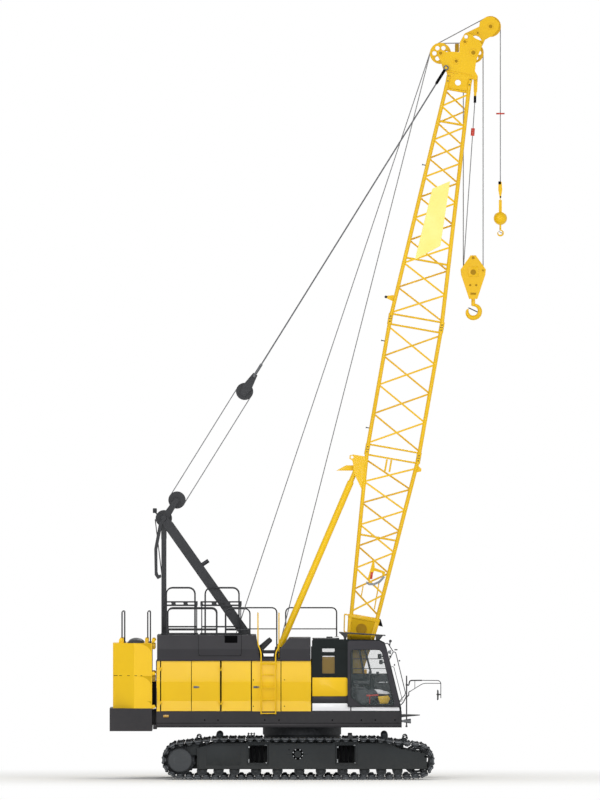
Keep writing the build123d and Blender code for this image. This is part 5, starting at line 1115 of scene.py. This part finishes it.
def makeSideFrameTrim():
    # flanges, window rims with pale blocks in their corners painted as light showing through, hub with bright
    # bolts, plugs, near-black ribs and disc painted as shade, and the skid rails under the top run
    (hubX, hubZ), face = under["hub"], under["face"]
    for side, name in flanks:
        y = side * face
        plates = [cutBlock(xs, (y - side * 4, y + side * proud), zs, bevel)
                  for xs, proud, zs, bevel in (
                      ((-2412, -2382), 8, (250, 724), 4), ((-2360, 2860), 9, (241, 262), 4),
                      ((-2200, -1420), 5, (330, 790), 4), ((-640, -330), 4, (800, 816), 3),
                      ((330, 700), 4, (800, 816), 3))]
        (low, high), reach = under["windowZ"], under["windowHalf"]
        rim = (y - side * 4, y + side * 12)
        for x in under["windows"]:
            plates += [cutBlock((edge, edge + 26), rim, (low - 26, high + 20), 5)
                       for edge in (x - reach - 26, x + reach)]
            plates += [cutBlock((x - reach, x + reach), rim, (edge, edge + 24), 5)
                       for edge in (low - 26, high - 2)]
        plates += [bar(hubX, (y - side * 30, y - side * 2), hubZ, 82, 24, 74),
                   bar(hubX, (y - side * 4, y + side * 4), hubZ, 30, 16)]
        plates += [cutBlock((hubX + a, hubX + b), (y - side * 3, y + side * 5), (hubZ - 14, hubZ + 14), 4)
                   for a, b in ((-250, -150), (150, 250))]
        middle = side * track["gauge"] / 2
        skid = (middle - 75, middle + 75)
        plates += [cutBlock(xs, skid, (under["top"] - 20, 884), 14)
                   for xs in ((-1840, -1330), (-700, -60), (180, 700), (1340, 1590))]
        plates.append(cutPlate([(-2650, 560), (-2380, 560), (-2380, 836), (-2560, 836), (-2650, 780)],
                               y - side * 60, y - side * 40, 3))
        addPiece(plates, name + "FramePlates", "frameGrey", "undercarriage")
        # painted light: pale blocks in the windows' corners, where light shows through the frame; then bright
        # bolts round the hub
        cornerLightAndBolts = []
        for x in under["windows"]:
            for left, foot, wide, tall in ((4 - reach, high - 76, 34, 38), (reach - 58, high - 22, 50, 18),
                                           (4 - reach, low + 22, 26, 84), (reach - 34, low + 8, 26, 26)):
                xs, zs = (x + left, x + left + wide), (foot, foot + tall)
                cornerLightAndBolts.append(cutBlock(xs, (y - side * 30, y - side * 4), zs, 3))
        for turn in (20, 62, 118, 160, 205, 245, 300, 340):
            angle = math.radians(turn)
            x, z = hubX + 112 * math.cos(angle), hubZ + 112 * math.sin(angle)
            cornerLightAndBolts.append(bar(x, (y - side * 20, y + side * 3), z, 15, 8))
        addPiece(cornerLightAndBolts, name + "WindowCornerLightAndHubBolts", "brightSteelAndLight", "undercarriage")
        # painted shade: a near-black disc round the hub and near-black ribs deep in the windows; the two plugs
        # are dark of their own
        darks = [bar(hubX, (y - side * 60, y - side * 50), hubZ, under["hubRadius"] - 4, 32),
                 bar(2840, (y - side * 2, y + side * 3), 530, 26, 16),
                 bar(-300, (y - side * 2, y + side * 3), 690, 14, 12)]
        for x in under["windows"]:
            darks += [cutBlock((rib - 30, rib + 30), (y - side * 120, y - side * 60), (low, high), 16)
                      for rib in (x - 120, x - 10, x + 100)]
        addPiece(darks, name + "FrameRecessShadeAndPlugs", "deepBlack", "undercarriage")


def makeDriveTrim():
    # the final drive's cover with its rim, and the toothed ring that it turns
    x, z = under["sprocket"]
    for side, name in flanks:
        y = side * under["driveFace"]
        cover = [bar(x, (y - side * 30, y + side * 4), z, 272, 56),
                 bar(x, (y + side * 3, y + side * 12), z, 268, 56, 256)]
        addPiece(cover, name + "DriveCover", "driveGrey", "undercarriage", slot="dark_paint")
        middle = side * track["gauge"] / 2
        teeth = []
        for index in range(14):
            angle = math.tau * (index + 0.5) / 14
            tooth = cutPlate([(300, -52), (352, -26), (366, 0), (352, 26), (300, 52)],
                             middle - 46, middle + 46, 4)
            tooth.data.transform(Matrix.Translation((x * mm, 0, z * mm)) @ Matrix.Rotation(angle, 4, "Y"))
            teeth.append(tooth)
        addPiece(teeth, name + "SprocketTeeth", "shoeSteel", "undercarriage")


def makeDeckSteps():
    # short foot bars and a block on each axle
    bars = []
    for side in (-1, 1):
        y = side * under["stepLine"]
        for x in (-1240, -1170, -1105):
            bars.append(bar(x, y, (800, 1034), 13))
        bars.append(cutBlock((-1262, -1086), (y - 24, y + 24), (1004, 1018), 4))
        bars.append(cutBlock((1060, 1160), (y - 30, y + 30), (800, 1030), 12))
    addPiece(bars, "axleSteps", "blackPlastic", "undercarriage")


makeSideFrameTrim()
makeDriveTrim()
makeDeckSteps()
print("stage: undercarriage dressed")


# boom, gantry and hooks

boom = {
    "foot": (1097, 1899), "lean": 10, "face": 580, "boss": 1580,
    "chords": [(1855, -349, 384, 550), (5686, -585, 615, 550), (8747, -585, 615, 550), (14513, -225, 268, 330)],
    "sleeves": [(5686, 130, 54), (8747, 130, 54), (14440, 70, 50)],
    "pegs": (6176, 8216, 12376), "headHalf": 325, "noseHalf": 150, "blockHalf": 150, "stayPin": (3326, 0, 16406),
}


def onBoom(items):
    # items made upright at the origin are set on the boom: Z runs along it and X across
    x, z = boom["foot"]
    place = Matrix.Translation((x * mm, 0, z * mm)) @ Matrix.Rotation(math.radians(boom["lean"]), 4, "Y")
    for item in items:
        settle(item)
        item.data.transform(place)
    return items


def chordAt(u):
    # rear and front edges and half width of the boom at a height along it
    for low, high in zip(boom["chords"], boom["chords"][1:]):
        if u <= high[0]:
            share = (u - low[0]) / (high[0] - low[0])
            return [a + (b - a) * share for a, b in zip(low[1:], high[1:])]
    return boom["chords"][-1][1:]


def makeBoomFoot():
    # flanged rims, inset panels painted darker yellow as painted shade, and the boss rings of the two foot legs
    rims, panels, bolts, guards = [], [], [], []
    for side in (-1, 1):
        y = side * boom["face"]
        for line in ([(-118, 0), (-213, 1000), (-283, 1350), (-344, 1846)],
                     [(118, 0), (248, 1000), (318, 1350), (379, 1846)]):
            rims.append(bentTube([(v, y, u) for v, u in line], 12, 60))
        rims.append(cutBlock((-349, 384), (y - side * 4, y + side * 20), (1790, 1866), 6))
        rims.append(cutPlate([(-344, 1850), (-283, 1350), (-213, 1000), (-150, 1000), (-215, 1350),
                              (-268, 1790), (-268, 1850)], y - side * 4, y + side * 18, 5))
        rims.append(cutPlate([(379, 1850), (318, 1350), (248, 1000), (170, 1000), (230, 1350), (280, 1790),
                              (280, 1850)], y - side * 4, y + side * 18, 5))
        bolts.append(bar(0, (y - side * 4, y + side * 18), boom["boss"], 122, 40))
        for turn in range(12):
            angle = math.tau * (turn + 0.5) / 12
            v, u = 100 * math.cos(angle), boom["boss"] + 100 * math.sin(angle)
            bolts.append(bar(v, (y + side * 10, y + side * 24), u, 15, 6))
        # inset panels: thin plates in darker yellow, painted shade of the recess inside the rims
        panels.append(cutPlate([(-216, 1350), (-268, 1790), (280, 1790), (230, 1350), (170, 1000),
                                (-150, 1000)], y - side * 2, y + side * 2, 0))
        rims.append(bentTube([(-330, y, 1836), (-442, y, 1846), (-380, y, 1436), (-300, y, 1430)], 13, 30))
        rims.append(bar(0, (y - side * 4, y + side * 16), 0, 96, 32, 88))
        bolts.append(bar(0, (y + side * 12, y + side * 26), 0, 40, 20))
        guards.append(cutPlate([(362, 1868), (404, 1868), (480, 1713), (362, 1721)],
                               y - side * 6, y - side * 40, 4))
    addPiece(onBoom(rims), "boomFootRims", "boomYellow", "boom")
    addPiece(onBoom(panels), "boomFootPanels", "paintedShadeYellow", "boom")
    addPiece(onBoom(bolts), "boomFootBolts", "shadedYellow", "boom")
    addPiece(onBoom(guards), "boomFootGuards", "deepBlack", "boom")


def makeBoomTrim():
    # sleeves with their pins at the sections' ends, pegs, lugs, and the lamp's brackets and tag
    sleeves, darks, marks, bands = [], [], [], []
    for middle, reach, radius in boom["sleeves"]:
        rear, front, half = chordAt(middle)
        for side in (-1, 1):
            for v in (rear, front):
                for low, high in ((middle - reach, middle - 6), (middle + 6, middle + reach)):
                    sleeves.append(bar(v, side * half, (low, high), radius, 20))
                darks.append(bar(v, (side * (half + 60), side * (half - 60)), middle - 60, 15, 12))
                darks.append(bar(v, (side * (half + 60), side * (half - 60)), middle + 60, 15, 12))
                darks.append(bar(v, side * half, (middle - 7, middle + 7), radius - 7, 20))
    for u in boom["pegs"]:
        rear, _, half = chordAt(u)
        darks.append(bar((rear - 30, rear - 118), -half, u, 11, 10))
        darks.append(bar((rear - 112, rear - 124), -half, u, 20, 10))
    half = chordAt(5400)[2]
    for v in (-98, 6):
        sleeves.append(bar(v, -half, (5255, 5540), 21, 12))
    sleeves.append(cutPlate([(-1206, 5075), (-1007, 5236), (-797, 5273), (-724, 5240), (-724, 5159),
                             (-985, 5113)], -512, -488, 3))
    sleeves.append(cutPlate([(-600, 9150), (-790, 9206), (-800, 9240), (-600, 9300)], -562, -538, 4))
    darks.append(bar(-775, (-575, -525), 9223, 32, 20))
    sleeves.append(cutPlate([(-14, 3190), (18, 3190), (60, 3020), (312, 2975), (314, 2862), (270, 2862),
                             (240, 2930), (60, 2950), (-4, 2715), (-62, 2715)], -590, -570, 3))
    sleeves += [bar(-134, -560, (2321, 2560), 14, 10), bar(215, -560, (2073, 2720), 15, 10)]
    bands.append(cutPlate([(-72, 2682), (0, 2650), (98, 2670), (200, 2740), (290, 2874), (330, 2846),
                           (240, 2700), (112, 2622), (0, 2600), (-84, 2636)], -604, -588, 3))
    marks.append(cutPlate([(-16, 2909), (38, 2909), (48, 2751), (-4, 2751)], -600, -588, 4))
    addPiece(onBoom(sleeves), "boomSleeves", "boomYellow", "boom", 40)
    addPiece(onBoom(bands), "boomLampBand", "lampGrey", "boom")
    addPiece(onBoom(darks), "boomPins", "gantryGrey", "boom", 40)
    addPiece(onBoom(marks), "boomRedTag", "markerRed", "boom")


def makeHeadTrim():
    # pin ends, small blocks and edge stiffeners on the head's and the nose's plates
    darks, plates = [], []
    for side in (-1, 1):
        y = side * boom["headHalf"]
        darks.append(cutBlock((3534, 3624), (y - side * 2, y - side * 40), (16782, 16962), 8))
        for (x, z), radius in ((ropes["guide"], 62), (ropes["mainSheave"], 84), ((3560, 16560), 62),
                               ((3760, 17010), 56)):
            plates.append(bar(x, (y - side * 4, y + side * 16), z, radius, 28))
            darks.append(bar(x, (y + side * 14, y + side * 26), z, radius * 0.55, 20))
        plates.append(cutPlate([(3300, 16330), (3960, 16190), (3966, 16222), (3310, 16362)],
                               y - side * 2, y + side * 14, 3))
        noseY = side * boom["noseHalf"]
        for (x, z), radius in ((ropes["noseSheave"], 74), ((4060, 17215), 40)):
            plates.append(bar(x, (noseY - side * 4, noseY + side * 14), z, radius, 28))
            darks.append(bar(x, (noseY + side * 12, noseY + side * 24), z, radius * 0.55, 20))
    addPiece(plates, "headBosses", "boomYellow", "boom")
    addPiece(darks, "headPins", "shadedYellow", "boom")


def makeHookTrim():
    # cheek pads, plugs and pins of the hook block, latches, and the ball's clip and pin
    low, high = boxOf("hook_block")
    x, axle = (low.x + high.x) / 2, ropes["blockSheave"]
    darks, plates = [], []
    for side in (-1, 1):
        y = side * boom["blockHalf"]
        plates.append(cutBlock((x - 118, x + 118), (y - side * 2, y + side * 14), (axle - 104, axle + 124), 10))
        darks.append(bar(x, (y + side * 12, y + side * 24), axle, 62, 24))
        for offset in (-70, 70):
            darks.append(bar(x + offset, (y - side * 2, y + side * 4), axle - 300, 26, 16))
        darks.append(cutBlock((x - 64, x + 64), (y - side * 2, y + side * 4), (axle - 520, axle - 474), 6))
        darks.append(bar(x, (y - side * 4, y + side * 16), high.z - 58, 30, 18))
    darks.append(bar(x + 225, (-165, 165), axle + 40, 22, 14))
    addPiece(plates, "blockCheekPads", "boomYellow", "hook_block")
    addPiece(darks, "blockPins", "shadedYellow", "hook_block")
    bend = boxOf("main_hook")[0].z + 205
    latch = [cutPlate([(x - 128, bend + 78), (x - 96, bend + 92), (x + 118, bend - 8), (x + 112, bend - 34)],
                      -14, 14, 4)]
    addPiece(latch, "mainHookLatch", "driveGrey", "main_hook")
    low, high = boxOf("second_hook")
    x, bend = (low.x + high.x) / 2, low.z + 82
    latch = [cutPlate([(x - 54, bend + 34), (x - 42, bend + 42), (x + 50, bend - 6), (x + 46, bend - 20)], -8,
                      8, 2)]
    addPiece(latch, "secondHookLatch", "driveGrey", "second_hook")
    high = boxOf("ball_weight")[1]
    clip = [cutBlock((x - 52, x + 10), (-44, 44), (high.z - 60, high.z + 10), 8),
            bar(x, (-48, 48), high.z - 350, 20, 14)]
    addPiece(clip, "ballClip", "deepBlack", "ball_weight")


def makeLadder():
    # slender boarding ladder: two rails that turn into hand loops over the hood, and its rungs
    low = boxOf("boarding_ladder")[0]
    y, radius = low.y + 17, 15
    inner = -house["half"] + 250
    lines = []
    for x, loop, bend, turn, floor in ((-943, -1015, 3107, 2926, 3318), (-608, -531, 3055, 2916, 2771)):
        top = 3829
        lines.append(bentTube([(x, y, 1500), (x, y, turn), (loop, y, bend), (loop, y, top), (loop, inner, top),
                               (loop, inner, floor)], radius, 60))
    rungs = [bar((-943, -608), y, z, 13) for z in (2668, 2411, 2117, 1833, 1515)]
    feet = [bar(x, (y, -house["half"] + 6), z, 12) for x in (-943, -608) for z in (1640, 2600)]
    addPiece(lines + rungs + feet, "boardingLadder", "craneYellow", smoothAngle=60)
    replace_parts(bpy.data.objects["boardingLadder"], "boarding_ladder")


def makeSockets():
    # black end sockets on the stays' upper ends and under the dead-end link
    low = boxOf("boom_stays")[0]
    pin = Vector(boom["stayPin"])
    along = (Vector((low.x, 0, low.z)) - pin).normalized()
    sockets = []
    for side in (-1, 1):
        offset = Vector((0, side * 380, 0))
        sockets.append(roundBar(pin + offset + along * 50, pin + offset + along * 400, 33, 16))
        sockets.append(roundBar(pin + offset + along * 400, pin + offset + along * 440, 33, 16, 20))
    addPiece(sockets, "staySockets", "deepBlack", "stays")
    low, high = boxOf("dead_end_link")
    x, y = 3990, (low.y + high.y) / 2
    sleeve = [bar((x + 3, x + 6), y, (low.z - 6, low.z + 150), 30, 14)]
    addPiece(sleeve, "deadEndSleeve", "deepBlack", "dead_end")


def makeGantryTrim():
    # pin ends on the mast's head and feet, and the small box that sits on the head
    darks = []
    for x, z, radius in ((-3192, 6004, 78), (-1040, 2960, 70)):
        for side in (-1, 1):
            darks.append(bar(x, (side * 628, side * 648), z, radius, 24, radius * 0.8))
    darks.append(cutBlock((-3446, -3352), (-60, 60), (6126, 6236), 10))
    darks.append(bar((-3340, -3395), 0, (6090, 6150), 14, 10))
    addPiece(darks, "gantryPins", "gantryGrey", smoothAngle=40)


makeBoomFoot()
makeBoomTrim()
makeHeadTrim()
makeHookTrim()
makeSockets()
makeLadder()
makeGantryTrim()
print("stage: boom, hooks, ladder and gantry trimmed")


# floor, light and camera

shot = {"aim": (-46.2, 8736.42), "tall": 18480, "lens": 1150, "sensor": 36, "floorRadius": 60,
        "skyLow": 0.28, "skyHigh": 0.62}


def makeFloor():
    # pale studio floor that keeps the shadow near the crane and fades to the backdrop's white
    clearSelection()
    bpy.ops.mesh.primitive_circle_add(vertices=96, radius=shot["floorRadius"], fill_type="NGON")
    floor = bpy.context.object
    floor.name = "studioFloor"
    material = bpy.data.materials.new("paleFloor")
    tree = clearTree(material)
    place = addNode(tree, "ShaderNodeTexCoord").outputs["Object"]
    reach = addNode(tree, "ShaderNodeVectorMath", {"operation": "LENGTH"}, {0: place})
    far = addNode(tree, "ShaderNodeMapRange", {"From Min": 5.0, "From Max": 16.0},
                  {"Value": reach.outputs["Value"]})
    diffuse = addNode(tree, "ShaderNodeBsdfDiffuse", {"Color": hexColour("#F6F6F4")})
    white = addNode(tree, "ShaderNodeEmission", {"Color": (1, 1, 1, 1), "Strength": 1.0})
    mix = addNode(tree, "ShaderNodeMixShader", links={0: far.outputs["Result"], 1: diffuse.outputs[0],
                                                      2: white.outputs[0]})
    addNode(tree, "ShaderNodeOutputMaterial", links={"Surface": mix.outputs[0]})
    floor.data.materials.append(material)


def makeLight():
    scene = bpy.context.scene
    scene.view_settings.view_transform = "Standard"
    world = bpy.data.worlds.new("studioWorld")
    scene.world = world
    tree = clearTree(world)
    # the camera, mirrors and glass see the pale backdrop; everything else gets a soft sky, brighter above
    path = addNode(tree, "ShaderNodeLightPath").outputs
    direct = addNode(tree, "ShaderNodeMath", {"operation": "MAXIMUM"},
                     {0: path["Is Camera Ray"], 1: path["Is Transmission Ray"]})
    seen = addNode(tree, "ShaderNodeMath", {"operation": "MAXIMUM"},
                   {0: direct.outputs[0], 1: path["Is Glossy Ray"]})
    sky = addNode(tree, "ShaderNodeTexCoord").outputs["Generated"]
    height = addNode(tree, "ShaderNodeSeparateXYZ", links={"Vector": sky}).outputs["Z"]
    level = addNode(tree, "ShaderNodeMapRange", {"From Min": -0.35, "From Max": 0.6, "To Min": shot["skyLow"],
                                                "To Max": shot["skyHigh"]}, {"Value": height})
    glow = addNode(tree, "ShaderNodeBackground", {"Color": (1, 1, 1, 1)}, {"Strength": level.outputs["Result"]})
    backdrop = addNode(tree, "ShaderNodeBackground", {"Color": (1, 1, 1, 1), "Strength": 1.0})
    mix = addNode(tree, "ShaderNodeMixShader", links={0: seen.outputs[0], 1: glow.outputs[0],
                                                      2: backdrop.outputs[0]})
    addNode(tree, "ShaderNodeOutputWorld", links={"Surface": mix.outputs[0]})
    lamps = {
        "keyLamp": {"place": (-14, -30, 26), "aim": (0, 0, 7), "size": 14, "power": 3600},
        "lowLamp": {"place": (-4, -44, 10), "aim": (0, 0, 3), "size": 12, "power": 2700},
        "frontLamp": {"place": (22, -26, 14), "aim": (0, 0, 7), "size": 16, "power": 2200},
        "backLamp": {"place": (6, 30, 24), "aim": (0, 0, 8), "size": 16, "power": 3200},
    }
    for name, lamp in lamps.items():
        data = bpy.data.lights.new(name, "AREA")
        data.energy = lamp["power"]
        data.size = lamp["size"]
        item = bpy.data.objects.new(name, data)
        scene.collection.objects.link(item)
        item.location = lamp["place"]
        aim = Vector(lamp["aim"]) - Vector(lamp["place"])
        item.rotation_euler = aim.to_track_quat("-Z", "Y").to_euler()


def makeCamera():
    # a long lens from the machine's right, level, so that it is nearly orthographic
    aimX, aimZ = shot["aim"]
    tall = shot["tall"] * mm
    data = bpy.data.cameras.new("longLens")
    data.lens = shot["lens"]
    data.sensor_width = shot["sensor"]
    distance = tall * shot["lens"] / shot["sensor"]
    data.clip_start = 1
    data.clip_end = distance * 3
    camera = bpy.data.objects.new("longLens", data)
    bpy.context.scene.collection.objects.link(camera)
    camera.location = (aimX * mm, -distance, aimZ * mm)
    camera.rotation_euler = (math.pi / 2, 0, 0)
    bpy.context.scene.camera = camera


makeFloor()
makeLight()
makeCamera()
print("stage: floor, light and camera set")
